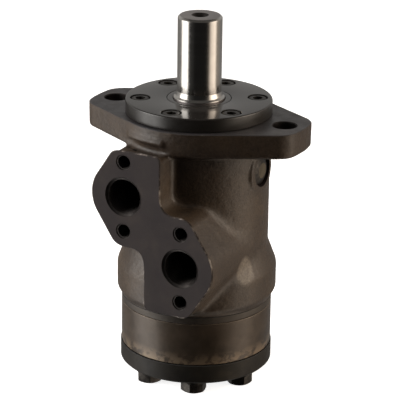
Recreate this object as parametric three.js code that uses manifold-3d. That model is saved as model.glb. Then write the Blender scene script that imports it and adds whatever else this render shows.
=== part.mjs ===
// Orbital (gerotor) hydraulic motor with a keyed cylindrical shaft, an oval two-bolt flange and two side
// ports. Millimetres. The origin is on the shaft axis in the flange's mounting plane. +Z runs out along the shaft,
// the port face looks along -Y, and the drain port looks along +X.
import * as THREE from "three";
import { mergeVertices } from "three/addons/utils/BufferGeometryUtils.js";
import Module from "manifold-3d";

const wasm = await Module();
wasm.setup();

// ---------- Driving dimensions ----------

const gap = 0.3; // between pieces that meet face to face
const overrun = 1; // how far a cutting tool reaches past the face that it cuts
const halfTurn = Math.PI;
const quarterTurn = Math.PI / 2;
const fullTurn = 2 * Math.PI;

// Flats round a circle, by its size
const cavityFlats = 56;
const bigFlats = 40;
const middleFlats = 28;
const holeFlats = 20;
const counterboreFlats = 14;
const smallFlats = 10;
const channelFlats = 6;

// Output shaft
const shaftRadius = 12.5;
const shaftEndHeight = 55.5;
const shaftEndChamfer = 1.2;
const sealSeatRadius = 14.4; // the ground length that the seals run on
const sealSeatHeight = 9.2;
const shoulderConeHeight = 12.4;
const centreHoleRadius = 3.4; // tapped M8
const centreHoleMouthRadius = 4.9;
const centreHoleMouthDepth = 1.5;
const centreHoleDepth = 20;
const centreHoleTipLength = 2;
const spoolRadius = 17.9;
const spoolBoreRadius = 12.4;
const spoolBottom = -106.6;
const spoolGrooveDepth = 1.8;
const spoolSlotWidth = 3.2;

// Parallel key A8 x 7 x 32 on the side away from the ports
const keyWidth = 8;
const keyHeight = 7;
const keyLength = 32;
const keyTopHeight = 50.5;
const keySeatDepth = 4;
const keyClearance = 0.3;

// Front cover, which is also the pilot
const pilotRadius = 41.25;
const pilotHeight = 8;
const pilotChamfer = 0.8;
const spigotRadius = 22.7;
const spigotDepth = 5.7;
const coverScrewCount = 6;
const coverScrewCircle = 32.9;
const coverScrewRadius = 3; // M6
const coverScrewHeadRadius = 5;
const coverScrewHeadHeight = 4.2;
const coverScrewHeadChamfer = 0.5;
const coverScrewSocket = 5; // across flats
const coverScrewSocketDepth = 2.6;
const coverScrewEnd = -11;
const counterboreRadius = 5.7;
const counterboreDepth = 4.8;

// Housing flange
const flangeThickness = 14.3;
const flangeWaistRadius = 44;
const flangeEndRadius = 65.3;
const flangeCornerRadius = 4;
const flangeSideAngle = THREE.MathUtils.degToRad(28.5);
const flangeHoleSpacing = 106.4;
const flangeHoleRadius = 6.75;

// Housing body
const neckRadius = 40.5;
const collarRadius = 45.6;
const collarConeTop = -75.5;
const collarTop = -89;
const collarBottom = -103.3;
const collarChamferBottom = -107;
const gearCaseRadius = 43.1;
const housingBottom = -107.4;
const coverRecessRadius = 23;
const coverRecessDepth = 13.2;
const mainBoreRadius = 18;
const portGrooveRadius = 22;
const portGrooveHalfWidth = 5;

// Port block: two ports, each between two tapped holes for a fitting's clamp or plate
const portFaceY = -54.7;
const portBlockBackY = -8;
const portBlockTop = -10.6;
const portPairHeight = -55.25;
const portOffsetX = 17.8;
const portOffsetZ = 17.75;
const portBossRadius = 20.2;
const portRadius = 10.5; // G 1/2
const portDepth = 17;
const portPassageRadius = 7;
const portScrewOffset = 20;
const portScrewBossRadius = 9.3;
const portScrewRadius = 4; // M8
const portScrewDepth = 14;
const blockStepX = 5;
const blockCornerRadius = 3.5;
const blockFilletRadius = 2.5;

// Drain port, closed by a plug
const drainHeight = -28.5;
const drainBossRadius = 12.5;
const drainBossFace = 39.3;
const drainSpotRadius = 9.2;
const drainSpotFace = 36.6;
const drainThreadRadius = 6.5; // G 1/4
const drainPassageRadius = 3;
const drainWasherInnerRadius = 6.6;
const drainWasherOuterRadius = 8;
const drainWasherThickness = 1;
const drainPlugRadius = 8.2;
const drainPlugFaceRadius = 4.4;
const drainPlugHeadHeight = 2.2;
const drainPlugDomeHeight = 1.3;
const drainPlugLength = 10;

// Gear set: a fixed ring of seven teeth and a star of six that turns and orbits in it
const plateTop = -107.7;
const plateBottom = -111.6;
const plateBoreRadius = 13.5;
const ringTop = -111.9;
const ringBottom = -136.7;
const starTop = -112.2;
const starBottom = -136.4;
const ringToothCount = 7;
const starToothCount = ringToothCount - 1;
const toothCircle = 32;
const toothRadius = 9;
const eccentricity = 3.1;
const toothClearance = 0.25;
const starPointsPerTooth = 12;
const starPointCrowding = 0.85; // how much closer the star's points lie in its valleys
const gearCavityRadius = toothCircle - toothRadius + 2 * eccentricity + toothClearance;

// Pressure channels between the bore and the gear set's seven pockets
const channelCircle = 24.5;
const channelRadius = 2.3;
const channelTop = -92;
const channelWindowRadius = 1.84;

// Splined drive link between the shaft and the star
const linkShaftEnd = -53; // centre of its spline in the shaft
const linkStarEnd = -123; // centre of its spline in the star
const linkRadius = 7.2;
const splineCount = 10;
const splineRootRadius = 8.3;
const splineTipRadius = 10.6;
const splineTipShare = 0.8; // a tooth's width at its tip and at its root, as shares of its middle width
const splineRootShare = 1.2;
const splineFill = 0.42; // the teeth's share of the pitch at their middle
const splineCrownLength = 11;
const splineEndDrop = 0.6; // how much lower the crowned teeth are at their ends
const linkEndTaper = 1;
const socketToothRadius = 9.1;
const socketRootRadius = 11.4;
const socketFill = 0.56;
const socketTop = -43;
const socketBottom = -63;
const socketReliefLength = 3;
const spacerRadius = 8.4;
const spacerTop = -134.2;

// End cover and its bolts
const endCoverRadius = 43.6;
const endCoverTop = -137;
const endCoverBottom = -148.2;
const endCoverChamfer = 1.2;
const endBoltCircle = 33;
const endBoltRadius = 4; // M8
const endBoltTip = -95.5;
const boltHoleRadius = 4.35;
const boltHoleTop = -94.5;
const washerRadius = 7.6;
const washerThickness = 1.6;
const boltHeadHeight = 5.6;
const boltHeadAcrossFlats = 13;
const boltHeadFaceInset = 0.3;
const boltHeadConeSlope = 0.6;
const boltTurnStep = 0.7; // each tightened head stops at an angle of its own

// Seals round the shaft
const shaftSealRadius = 19.7;
const shaftSealHeight = 5.4;
const shaftSealSetback = 0.5;
const dustSealRadius = 17.9;
const dustSealHeight = 3;
const dustSealSetback = 0.1;
const shaftHoleClearance = 0.6;

// Thrust bearing under the front cover
const raceInnerRadius = 15.5;
const raceOuterRadius = 22.4;
const raceThickness = 2;
const cageInset = 0.4;
const cageThickness = 1;
const needleCount = 12;
const needleLength = 4.6;

// Round seals between the bolted faces
const jointRingRadius = 39.9;
const jointRingThickness = 1.6;
const coverRingRadius = 24.4;
const sealGrooveDepth = 2;
const sealGrooveWidth = 2.3;

// Colour, roughness and metalness of each finish
const finishes = {
  castIron: { color: 0x4a413b, roughness: 0.62, metalness: 0.35 },
  blackOxide: { color: 0x2e2c2b, roughness: 0.4, metalness: 0.6 },
  gearSteel: { color: 0x54483d, roughness: 0.5, metalness: 0.6 },
  groundSteel: { color: 0xb9b4ab, roughness: 0.22, metalness: 1 },
  hardenedSteel: { color: 0x8d8c8a, roughness: 0.3, metalness: 1 },
  fastenerBlack: { color: 0x1d1c1b, roughness: 0.45, metalness: 0.6 },
  plugSteel: { color: 0x8a7d66, roughness: 0.4, metalness: 0.8 },
  copper: { color: 0x9a5f3c, roughness: 0.4, metalness: 1 },
  rubber: { color: 0x161616, roughness: 0.8, metalness: 0 },
};

// ---------- Solids ----------

// A closed geometry as a solid that can be joined and cut.
function solid(geometry) {
  const bare = geometry.index ? geometry.toNonIndexed() : geometry.clone();
  bare.deleteAttribute("normal");
  bare.deleteAttribute("uv");
  const merged = mergeVertices(bare, 1e-4);
  return new wasm.Manifold(
    new wasm.Mesh({
      numProp: 3,
      vertProperties: merged.attributes.position.array,
      triVerts: new Uint32Array(merged.index.array),
    }),
  );
}

// A solid's surface as a flat-shaded geometry.
function surface(shape) {
  const mesh = shape.getMesh();
  const indexed = new THREE.BufferGeometry();
  indexed.setAttribute("position", new THREE.BufferAttribute(mesh.vertProperties, 3));
  indexed.setIndex(new THREE.BufferAttribute(mesh.triVerts, 1));
  const flat = indexed.toNonIndexed();
  flat.computeVertexNormals();
  return flat;
}

function join(shapes) {
  return shapes.reduce((whole, next) => whole.add(next));
}

function cut(shape, tools) {
  return tools.reduce((rest, tool) => rest.subtract(tool), shape);
}

// A body turned about Z. The profile is a list of [radius, z] with the material on its left; one that doesn't
// start on the axis is closed on itself.
function turned(profile, segments = bigFlats) {
  const points = profile.map(([radius, z]) => new THREE.Vector2(radius, z));
  if (profile[0][0] > 0) points.push(points[0].clone());
  return solid(new THREE.LatheGeometry(points, segments).rotateX(quarterTurn));
}

function disc(radius, bottom, top, segments = bigFlats) {
  return turned([[0, bottom], [radius, bottom], [radius, top], [0, top]], segments);
}

function ring(innerRadius, outerRadius, bottom, top, segments = bigFlats) {
  return turned(
    [[innerRadius, bottom], [outerRadius, bottom], [outerRadius, top], [innerRadius, top]],
    segments,
  );
}

// A flat outline pulled up from z = bottom to z = top.
function extruded(outline, bottom, top, curveSegments = 8) {
  const depth = top - bottom;
  return solid(
    new THREE.ExtrudeGeometry(outline, { depth, bevelEnabled: false, curveSegments }).translate(0, 0, bottom),
  );
}

// The same tool at each place round the Z axis.
function around(count, radius, firstAngle, makeTool) {
  return Array.from({ length: count }, (_, i) => {
    const angle = firstAngle + (i * fullTurn) / count;
    return makeTool(angle).translate([radius * Math.cos(angle), radius * Math.sin(angle), 0]);
  });
}

function placesAround(count, radius, firstAngle) {
  return Array.from({ length: count }, (_, i) => {
    const angle = firstAngle + (i * fullTurn) / count;
    return [radius * Math.cos(angle), radius * Math.sin(angle)];
  });
}

// Turns a tool that points along Z so that it points along Y or X instead.
function alongY(shape) {
  return shape.rotate([-90, 0, 0]);
}

function alongX(shape) {
  return shape.rotate([0, 90, 0]);
}

function hexagon(acrossFlats) {
  const outline = new THREE.Shape();
  const corner = acrossFlats / Math.sqrt(3);
  for (let i = 0; i < 6; i += 1) {
    const angle = (i * fullTurn) / 6;
    const method = i === 0 ? "moveTo" : "lineTo";
    outline[method](corner * Math.cos(angle), corner * Math.sin(angle));
  }
  return outline;
}

// Trapezoid teeth round a circle, from rootRadius out to tipRadius. fill is the tooth's share of the pitch.
function splineOutline(rootRadius, tipRadius, fill) {
  const outline = new THREE.Shape();
  const pitch = fullTurn / splineCount;
  const halfTip = (pitch * fill * splineTipShare) / 2;
  const halfRoot = (pitch * fill * splineRootShare) / 2;
  for (let i = 0; i < splineCount; i += 1) {
    const middle = i * pitch;
    const corners = [
      [rootRadius, middle - halfRoot],
      [tipRadius, middle - halfTip],
      [tipRadius, middle + halfTip],
      [rootRadius, middle + halfRoot],
    ];
    corners.forEach(([radius, angle], j) => {
      const method = i + j === 0 ? "moveTo" : "lineTo";
      outline[method](radius * Math.cos(angle), radius * Math.sin(angle));
    });
  }
  return outline;
}

// ---------- The scene graph ----------

const motor = new THREE.Group();

// Adds a piece as a named mesh, at a place and turned about Z.
function place(name, shape, finish, position = [0, 0, 0], turn = 0) {
  const geometry = shape.isBufferGeometry ? shape : surface(shape);
  const mesh = new THREE.Mesh(geometry, new THREE.MeshStandardMaterial(finishes[finish]));
  mesh.name = name;
  mesh.position.set(...position);
  mesh.rotation.z = turn;
  motor.add(mesh);
  return mesh;
}

// ---------- Housing ----------

const firstBoltAngle = quarterTurn; // one bolt and one ring tooth straight behind
const toothPitch = fullTurn / ringToothCount;
const firstChannelAngle = firstBoltAngle + toothPitch / 2;
const firstScrewAngle = halfTurn / coverScrewCount;

// An oval with straight sides: a round waist, ends on a larger circle, and rounded corners between them.
function flangeOutline() {
  const normalAngle = quarterTurn - flangeSideAngle;
  const reach = flangeEndRadius - flangeCornerRadius;
  const inset = flangeWaistRadius - flangeCornerRadius;
  const endAngle = normalAngle - Math.acos(inset / reach);
  const corner = [reach * Math.cos(endAngle), reach * Math.sin(endAngle)];
  const outline = new THREE.Shape();
  for (const turn of [0, halfTurn]) {
    const side = turn === 0 ? 1 : -1;
    outline.absarc(0, 0, flangeEndRadius, turn - endAngle, turn + endAngle);
    outline.absarc(
      side * corner[0], side * corner[1], flangeCornerRadius, turn + endAngle, turn + normalAngle,
    );
    outline.absarc(0, 0, flangeWaistRadius, turn + normalAngle, turn + halfTurn - normalAngle);
    outline.absarc(
      -side * corner[0], side * corner[1], flangeCornerRadius,
      turn + halfTurn - normalAngle, turn + halfTurn - endAngle,
    );
  }
  return outline;
}

// The port face: two lobes, each round its port and its two screw holes, that are half a turn apart.
function portFaceOutline() {
  const tangent = Math.asin((portBossRadius - portScrewBossRadius) / portScrewOffset);
  const outline = new THREE.Shape();
  for (const side of [1, -1]) {
    const turn = side === 1 ? 0 : halfTurn;
    const arc = (x, y, radius, start, end, clockwise) =>
      outline.absarc(side * x, side * y, radius, start + turn, end + turn, clockwise);
    const lowScrewY = portOffsetZ - portScrewOffset;
    const highScrewY = portOffsetZ + portScrewOffset;
    const shelf = lowScrewY - portScrewBossRadius;
    const top = highScrewY + portScrewBossRadius;
    arc(-blockStepX - blockFilletRadius, shelf - blockFilletRadius, blockFilletRadius, 0, quarterTurn, false);
    arc(-portOffsetX, lowScrewY, portScrewBossRadius, 3 * quarterTurn, halfTurn + tangent, true);
    arc(-portOffsetX, portOffsetZ, portBossRadius, halfTurn + tangent, halfTurn - tangent, true);
    arc(-portOffsetX, highScrewY, portScrewBossRadius, halfTurn - tangent, quarterTurn, true);
    arc(blockStepX - blockCornerRadius, top - blockCornerRadius, blockCornerRadius, quarterTurn, 0, true);
  }
  return outline;
}

// Where the two ports are: [x, z].
const portPlaces = [
  [-portOffsetX, portPairHeight + portOffsetZ],
  [portOffsetX, portPairHeight - portOffsetZ],
];

// A round tool along Y from the port face inwards, at [x, z].
function drillFromPortFace(radius, depth, [x, z], segments) {
  return alongY(disc(radius, -overrun, depth, segments)).translate([x, portFaceY, z]);
}

function housing() {
  const body = turned([
    [0, housingBottom],
    [gearCaseRadius, housingBottom],
    [gearCaseRadius, collarChamferBottom],
    [collarRadius, collarBottom],
    [collarRadius, collarTop],
    [neckRadius, collarConeTop],
    [neckRadius, -overrun],
    [0, -overrun],
  ]);
  const flange = extruded(flangeOutline(), -flangeThickness, 0);
  // The outline's plane is turned to face -Y, so its second axis becomes Z.
  const portBlock = extruded(portFaceOutline(), -portBlockBackY, -portFaceY)
    .rotate([90, 0, 0])
    .translate([0, 0, portPairHeight])
    .subtract(disc(2 * neckRadius, portBlockTop, overrun, smallFlats));
  const drainBoss = alongX(disc(drainBossRadius, neckRadius / 2, drainBossFace, holeFlats))
    .translate([0, 0, drainHeight]);

  const bore = turned([
    [0, housingBottom - overrun],
    [mainBoreRadius, housingBottom - overrun],
    [mainBoreRadius, -coverRecessDepth],
    [coverRecessRadius, -coverRecessDepth],
    [coverRecessRadius, overrun],
    [0, overrun],
  ]);
  const coverSealGroove = disc(coverRingRadius + sealGrooveWidth / 2, -sealGrooveDepth, overrun);
  const jointSealGroove = ring(
    jointRingRadius - sealGrooveWidth / 2,
    jointRingRadius + sealGrooveWidth / 2,
    housingBottom - overrun,
    housingBottom + sealGrooveDepth,
  );
  const flangeHoles = [1, -1].map((side) =>
    disc(flangeHoleRadius, -flangeThickness - overrun, overrun, holeFlats)
      .translate([side * flangeHoleSpacing / 2, 0, 0]),
  );
  const coverScrewHoles = around(coverScrewCount, coverScrewCircle, firstScrewAngle, () =>
    disc(coverScrewRadius + gap, coverScrewEnd - overrun, overrun, smallFlats),
  );
  const boltHoles = around(ringToothCount, endBoltCircle, firstBoltAngle, () =>
    disc(boltHoleRadius, housingBottom - overrun, boltHoleTop, smallFlats),
  );
  const portTools = portPlaces.flatMap(([x, z]) => [
    drillFromPortFace(portRadius, portDepth, [x, z], holeFlats),
    drillFromPortFace(portPassageRadius, -portFaceY - mainBoreRadius / 2, [x, z], smallFlats),
    ring(
      mainBoreRadius - overrun, portGrooveRadius,
      z - portGrooveHalfWidth, z + portGrooveHalfWidth, middleFlats,
    ),
    drillFromPortFace(portScrewRadius, portScrewDepth, [x, z + portScrewOffset], smallFlats),
    drillFromPortFace(portScrewRadius, portScrewDepth, [x, z - portScrewOffset], smallFlats),
  ]);
  const channels = around(ringToothCount, channelCircle, firstChannelAngle, () =>
    disc(channelRadius, housingBottom - overrun, channelTop, channelFlats),
  );
  const channelWindows = around(ringToothCount, mainBoreRadius - overrun, firstChannelAngle, (angle) =>
    alongX(disc(channelWindowRadius, 0, channelCircle - mainBoreRadius + overrun, channelFlats))
      .rotate([0, 0, THREE.MathUtils.radToDeg(angle)])
      .translate([0, 0, channelTop - channelRadius]),
  );
  const drainTools = [
    disc(drainSpotRadius, drainSpotFace, neckRadius + overrun, holeFlats),
    disc(drainThreadRadius, coverRecessRadius + overrun, drainSpotFace + overrun, smallFlats),
    disc(drainPassageRadius, mainBoreRadius - overrun, coverRecessRadius + 2 * overrun, channelFlats),
  ].map((tool) => alongX(tool).translate([0, 0, drainHeight]));

  return cut(join([body, flange, portBlock, drainBoss]), [
    bore,
    coverSealGroove,
    jointSealGroove,
    ...flangeHoles,
    ...coverScrewHoles,
    ...boltHoles,
    ...portTools,
    ...channels,
    ...channelWindows,
    ...drainTools,
  ]);
}

place("housing", housing(), "castIron");

// ---------- Drain plug ----------

// Both are turned about Z with the head's face up, then laid along X in a group.
const drainGroup = new THREE.Group();
drainGroup.position.set(drainSpotFace, 0, drainHeight);
drainGroup.rotation.y = quarterTurn;
motor.add(drainGroup);

const drainHeadBottom = 2 * gap + drainWasherThickness;
const drainHeadTop = drainHeadBottom + drainPlugHeadHeight;
const drainWasher = ring(
  drainWasherInnerRadius, drainWasherOuterRadius, gap, gap + drainWasherThickness, holeFlats,
);
const drainPlug = turned([
  [0, -drainPlugLength],
  [drainThreadRadius - 2 * gap, -drainPlugLength],
  [drainThreadRadius - 2 * gap, drainHeadBottom],
  [drainPlugRadius, drainHeadBottom],
  [drainPlugRadius, drainHeadTop - drainPlugDomeHeight],
  [drainPlugFaceRadius, drainHeadTop],
  [0, drainHeadTop],
], holeFlats);
drainGroup.add(place("drain_washer", drainWasher, "copper"));
drainGroup.add(place("drain_plug", drainPlug, "plugSteel"));

// ---------- Front cover and its seals ----------

const shaftSealBottom = shaftSealSetback - spigotDepth;

function frontCover() {
  const body = turned([
    [0, -spigotDepth],
    [spigotRadius, -spigotDepth],
    [spigotRadius, gap],
    [pilotRadius, gap],
    [pilotRadius, pilotHeight - pilotChamfer],
    [pilotRadius - pilotChamfer, pilotHeight],
    [0, pilotHeight],
  ]);
  const shaftHole = disc(
    sealSeatRadius + shaftHoleClearance, -spigotDepth - overrun, pilotHeight + overrun,
  );
  const shaftSealSeat = disc(
    shaftSealRadius + gap, -spigotDepth - overrun, shaftSealBottom + shaftSealHeight + shaftSealSetback,
  );
  const dustSealSeat = disc(
    dustSealRadius + gap, pilotHeight - dustSealHeight - gap, pilotHeight + overrun,
  );
  const screwHoles = around(coverScrewCount, coverScrewCircle, firstScrewAngle, () =>
    disc(coverScrewRadius + gap, -overrun, pilotHeight + overrun, smallFlats),
  );
  const counterbores = around(coverScrewCount, coverScrewCircle, firstScrewAngle, () =>
    disc(counterboreRadius, pilotHeight - counterboreDepth, pilotHeight + overrun, counterboreFlats),
  );
  return cut(body, [shaftHole, shaftSealSeat, dustSealSeat, ...screwHoles, ...counterbores]);
}

place("front_cover", frontCover(), "blackOxide");

place(
  "shaft_seal",
  ring(
    sealSeatRadius + gap, shaftSealRadius, shaftSealBottom, shaftSealBottom + shaftSealHeight, middleFlats,
  ),
  "rubber",
);
place(
  "dust_seal",
  ring(
    sealSeatRadius + gap, dustSealRadius, pilotHeight - dustSealHeight, pilotHeight - dustSealSetback,
    middleFlats,
  ),
  "rubber",
);

// A round seal as a torus about Z.
function roundSeal(radius, thickness, height) {
  return new THREE.TorusGeometry(radius, thickness / 2, 6, middleFlats).translate(0, 0, height);
}

const sealHeightInGroove = sealGrooveDepth / 2;
place("cover_o_ring", roundSeal(coverRingRadius, jointRingThickness, -sealHeightInGroove), "rubber");

function coverScrew() {
  const headBottom = pilotHeight - counterboreDepth + gap;
  const headTop = headBottom + coverScrewHeadHeight;
  const body = turned([
    [0, coverScrewEnd],
    [coverScrewRadius, coverScrewEnd],
    [coverScrewRadius, headBottom],
    [coverScrewHeadRadius, headBottom],
    [coverScrewHeadRadius, headTop - coverScrewHeadChamfer],
    [coverScrewHeadRadius - coverScrewHeadChamfer, headTop],
    [0, headTop],
  ], counterboreFlats);
  return body.subtract(
    extruded(hexagon(coverScrewSocket), headTop - coverScrewSocketDepth, headTop + overrun),
  );
}

placesAround(coverScrewCount, coverScrewCircle, firstScrewAngle).forEach(([x, y], i) => {
  place(`cover_screw_${i + 1}`, coverScrew(), "fastenerBlack", [x, y, 0], i);
});

// ---------- Thrust bearing ----------

const upperRaceTop = -spigotDepth - gap;
const cageTop = upperRaceTop - raceThickness - gap;
const lowerRaceTop = cageTop - raceThickness - gap;
const needleRadius = raceThickness / 2;

place(
  "thrust_race_upper",
  ring(raceInnerRadius, raceOuterRadius, upperRaceTop - raceThickness, upperRaceTop, middleFlats),
  "hardenedSteel",
);
place(
  "thrust_race_lower",
  ring(raceInnerRadius, raceOuterRadius, lowerRaceTop - raceThickness, lowerRaceTop, middleFlats),
  "hardenedSteel",
);

function needleCage() {
  const cageMiddle = cageTop - needleRadius;
  const cage = ring(
    raceInnerRadius + cageInset, raceOuterRadius - cageInset,
    cageMiddle - cageThickness / 2, cageMiddle + cageThickness / 2, middleFlats,
  );
  const needleStart = (raceInnerRadius + raceOuterRadius - needleLength) / 2;
  const needles = around(needleCount, needleStart, 0, (angle) =>
    alongX(disc(needleRadius, 0, needleLength, channelFlats))
      .rotate([0, 0, THREE.MathUtils.radToDeg(angle)])
      .translate([0, 0, cageMiddle]),
  );
  return join([cage, ...needles]);
}

place("thrust_needle_cage", needleCage(), "hardenedSteel");

// ---------- Output shaft with its spool, and the key ----------

const spoolTop = lowerRaceTop - raceThickness - gap;
const slotBottom = channelTop - 2 * channelRadius;
const slotPitch = fullTurn / (2 * starToothCount);

// The keyway's or the key's flat shape, seen from above the key: a slot with round ends.
function keyOutline(width, length) {
  const outline = new THREE.Shape();
  const half = length / 2 - width / 2;
  outline.absarc(half, 0, width / 2, -quarterTurn, quarterTurn);
  outline.absarc(-half, 0, width / 2, quarterTurn, 3 * quarterTurn);
  return outline;
}

// A key-shaped block between two distances behind the shaft axis, with its length along Z.
function keyBlock(width, length, near, far) {
  return extruded(keyOutline(width, length), near, far)
    .rotate([0, 90, 90])
    .translate([0, 0, keyTopHeight - keyLength / 2]);
}

const socketOutline = splineOutline(socketToothRadius, socketRootRadius, socketFill);

function outputShaft() {
  const body = turned([
    [0, spoolBottom],
    [spoolRadius, spoolBottom],
    [spoolRadius, spoolTop],
    [sealSeatRadius, spoolTop],
    [sealSeatRadius, sealSeatHeight],
    [shaftRadius, shoulderConeHeight],
    [shaftRadius, shaftEndHeight - shaftEndChamfer],
    [shaftRadius - shaftEndChamfer, shaftEndHeight],
    [0, shaftEndHeight],
  ]);
  const centreHole = turned([
    [0, shaftEndHeight - centreHoleDepth - centreHoleTipLength],
    [centreHoleRadius, shaftEndHeight - centreHoleDepth],
    [centreHoleRadius, shaftEndHeight - centreHoleMouthDepth],
    [centreHoleMouthRadius, shaftEndHeight],
    [centreHoleMouthRadius, shaftEndHeight + overrun],
    [0, shaftEndHeight + overrun],
  ], holeFlats);
  const linkBore = disc(spoolBoreRadius, spoolBottom - overrun, socketBottom, middleFlats);
  const socketRelief = disc(socketToothRadius, socketTop, socketTop + socketReliefLength, holeFlats);
  const socket = extruded(socketOutline, socketBottom - overrun, socketTop);
  const keyway = keyBlock(
    keyWidth + 2 * keyClearance, keyLength + 2 * keyClearance,
    shaftRadius - keySeatDepth - keyClearance, shaftRadius + overrun,
  );
  const grooves = portPlaces.map(([, z]) =>
    ring(
      spoolRadius - spoolGrooveDepth, spoolRadius + overrun,
      z - portGrooveHalfWidth, z + portGrooveHalfWidth,
    ),
  );
  // Every other slot starts at the upper groove, the ones between at the lower.
  const slots = Array.from({ length: 2 * starToothCount }, (_, i) => {
    const top = portPlaces[i % 2][1];
    const slot = new THREE.BoxGeometry(2 * spoolGrooveDepth, spoolSlotWidth, top - slotBottom)
      .translate(spoolRadius, 0, (top + slotBottom) / 2);
    return solid(slot).rotate([0, 0, THREE.MathUtils.radToDeg(i * slotPitch)]);
  });
  return cut(body, [centreHole, linkBore, socketRelief, socket, keyway, ...grooves, ...slots]);
}

place("output_shaft", outputShaft(), "groundSteel");
place(
  "shaft_key",
  keyBlock(keyWidth, keyLength, shaftRadius - keySeatDepth, shaftRadius - keySeatDepth + keyHeight),
  "hardenedSteel",
);

// ---------- Gear set ----------

// The star's outline: the inner envelope of the ring's round teeth as the star rolls inside them.
function starOutline() {
  const outline = new THREE.Shape();
  const reach = toothRadius + toothClearance;
  const slope = toothCircle / (eccentricity * ringToothCount);
  const pointCount = starPointsPerTooth * starToothCount;
  for (let i = 0; i < pointCount; i += 1) {
    const even = (i * fullTurn) / pointCount;
    // Steps are shorter in the valleys, where the envelope bends most for a given angle.
    const angle = even - (starPointCrowding * Math.sin(starToothCount * even)) / starToothCount;
    const phase = starToothCount * angle;
    const lean = Math.atan2(Math.sin(phase), slope - Math.cos(phase));
    const x = toothCircle * Math.cos(angle) - eccentricity * Math.cos(ringToothCount * angle)
      - reach * Math.cos(angle - lean);
    const y = toothCircle * Math.sin(angle) - eccentricity * Math.sin(ringToothCount * angle)
      - reach * Math.sin(angle - lean);
    outline[i === 0 ? "moveTo" : "lineTo"](x, y);
  }
  return outline;
}

function gerotorRing() {
  const cavity = cut(
    disc(gearCavityRadius, ringBottom - overrun, ringTop + overrun, cavityFlats),
    around(ringToothCount, toothCircle, firstBoltAngle, () =>
      disc(toothRadius, ringBottom - 2 * overrun, ringTop + 2 * overrun, middleFlats),
    ),
  );
  const boltHoles = around(ringToothCount, endBoltCircle, firstBoltAngle, () =>
    disc(boltHoleRadius, ringBottom - overrun, ringTop + overrun, smallFlats),
  );
  const sealGrooves = [ringTop - sealGrooveDepth, ringBottom - overrun].map((bottom) =>
    ring(
      jointRingRadius - sealGrooveWidth / 2, jointRingRadius + sealGrooveWidth / 2,
      bottom, bottom + sealGrooveDepth + overrun,
    ),
  );
  return cut(disc(gearCaseRadius, ringBottom, ringTop), [cavity, ...boltHoles, ...sealGrooves]);
}

place("gerotor_ring", gerotorRing(), "gearSteel");

// The star sits off the motor's axis towards the port side, with a tooth in the ring's valley there.
const starCentre = [0, -eccentricity, 0];
const gerotorStar = extruded(starOutline(), starBottom, starTop).subtract(
  extruded(socketOutline, starBottom - overrun, starTop + overrun),
);
place("gerotor_star", gerotorStar, "hardenedSteel", starCentre);
place("rotor_spacer", disc(spacerRadius, starBottom, spacerTop, holeFlats), "hardenedSteel", starCentre);

function distributorPlate() {
  return cut(ring(plateBoreRadius, gearCaseRadius, plateBottom, plateTop), [
    ...around(ringToothCount, endBoltCircle, firstBoltAngle, () =>
      disc(boltHoleRadius, plateBottom - overrun, plateTop + overrun, smallFlats),
    ),
    ...around(ringToothCount, channelCircle, firstChannelAngle, () =>
      disc(channelRadius, plateBottom - overrun, plateTop + overrun, channelFlats),
    ),
  ]);
}

place("distributor_plate", distributorPlate(), "gearSteel");

// ---------- Drive link ----------

// Made about its own Z axis with its middle at the origin, then tipped between its two spline centres.
const linkLength = linkShaftEnd - linkStarEnd;
const linkTilt = Math.atan2(eccentricity, linkLength);

function driveLink() {
  const halfLength = linkLength / 2;
  const halfCrown = splineCrownLength / 2;
  const linkEnd = halfLength + halfCrown + linkEndTaper;
  const crown = (height) => {
    const outline = splineOutline(splineRootRadius, splineTipRadius, splineFill);
    const teeth = extruded(outline, height - halfCrown, height + halfCrown);
    const barrel = turned([
      [0, height - halfCrown],
      [splineTipRadius - splineEndDrop, height - halfCrown],
      [splineTipRadius, height - halfCrown / 3],
      [splineTipRadius, height + halfCrown / 3],
      [splineTipRadius - splineEndDrop, height + halfCrown],
      [0, height + halfCrown],
    ], middleFlats);
    return teeth.intersect(barrel);
  };
  const bar = turned([
    [0, -linkEnd],
    [linkRadius - linkEndTaper, -linkEnd],
    [linkRadius, -halfLength],
    [linkRadius, halfLength],
    [linkRadius - linkEndTaper, linkEnd],
    [0, linkEnd],
  ], holeFlats);
  return join([bar, crown(-halfLength), crown(halfLength)]);
}

// Its teeth line up with the sockets: each has one straight along +X.
const linkMesh = place(
  "drive_link", driveLink(), "hardenedSteel", [0, -eccentricity / 2, (linkShaftEnd + linkStarEnd) / 2],
);
linkMesh.rotation.set(-linkTilt, 0, 0);

// ---------- End cover, its bolts and the joint seals ----------

function endCover() {
  const body = turned([
    [0, endCoverBottom],
    [endCoverRadius - endCoverChamfer, endCoverBottom],
    [endCoverRadius, endCoverBottom + endCoverChamfer],
    [endCoverRadius, endCoverTop],
    [0, endCoverTop],
  ]);
  return cut(body, around(ringToothCount, endBoltCircle, firstBoltAngle, () =>
    disc(boltHoleRadius, endCoverBottom - overrun, endCoverTop + overrun, smallFlats),
  ));
}

place("end_cover", endCover(), "blackOxide");

const washerTop = endCoverBottom - gap;
const boltHeadTop = washerTop - washerThickness - gap;
const endWasher = ring(
  endBoltRadius + gap, washerRadius, washerTop - washerThickness, washerTop, counterboreFlats,
);

function endBolt() {
  const headBottom = boltHeadTop - boltHeadHeight;
  const coneRadius = boltHeadAcrossFlats / Math.sqrt(3) + boltHeadFaceInset;
  const faceRadius = boltHeadAcrossFlats / 2 - boltHeadFaceInset;
  // The cone takes the corners off the head's outer face.
  const chamfer = turned([
    [0, headBottom],
    [faceRadius, headBottom],
    [coneRadius, headBottom + (coneRadius - faceRadius) * boltHeadConeSlope],
    [coneRadius, boltHeadTop],
    [0, boltHeadTop],
  ], smallFlats);
  const head = extruded(hexagon(boltHeadAcrossFlats), headBottom, boltHeadTop).intersect(chamfer);
  return head.add(disc(endBoltRadius, boltHeadTop - overrun, endBoltTip, smallFlats));
}

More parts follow.
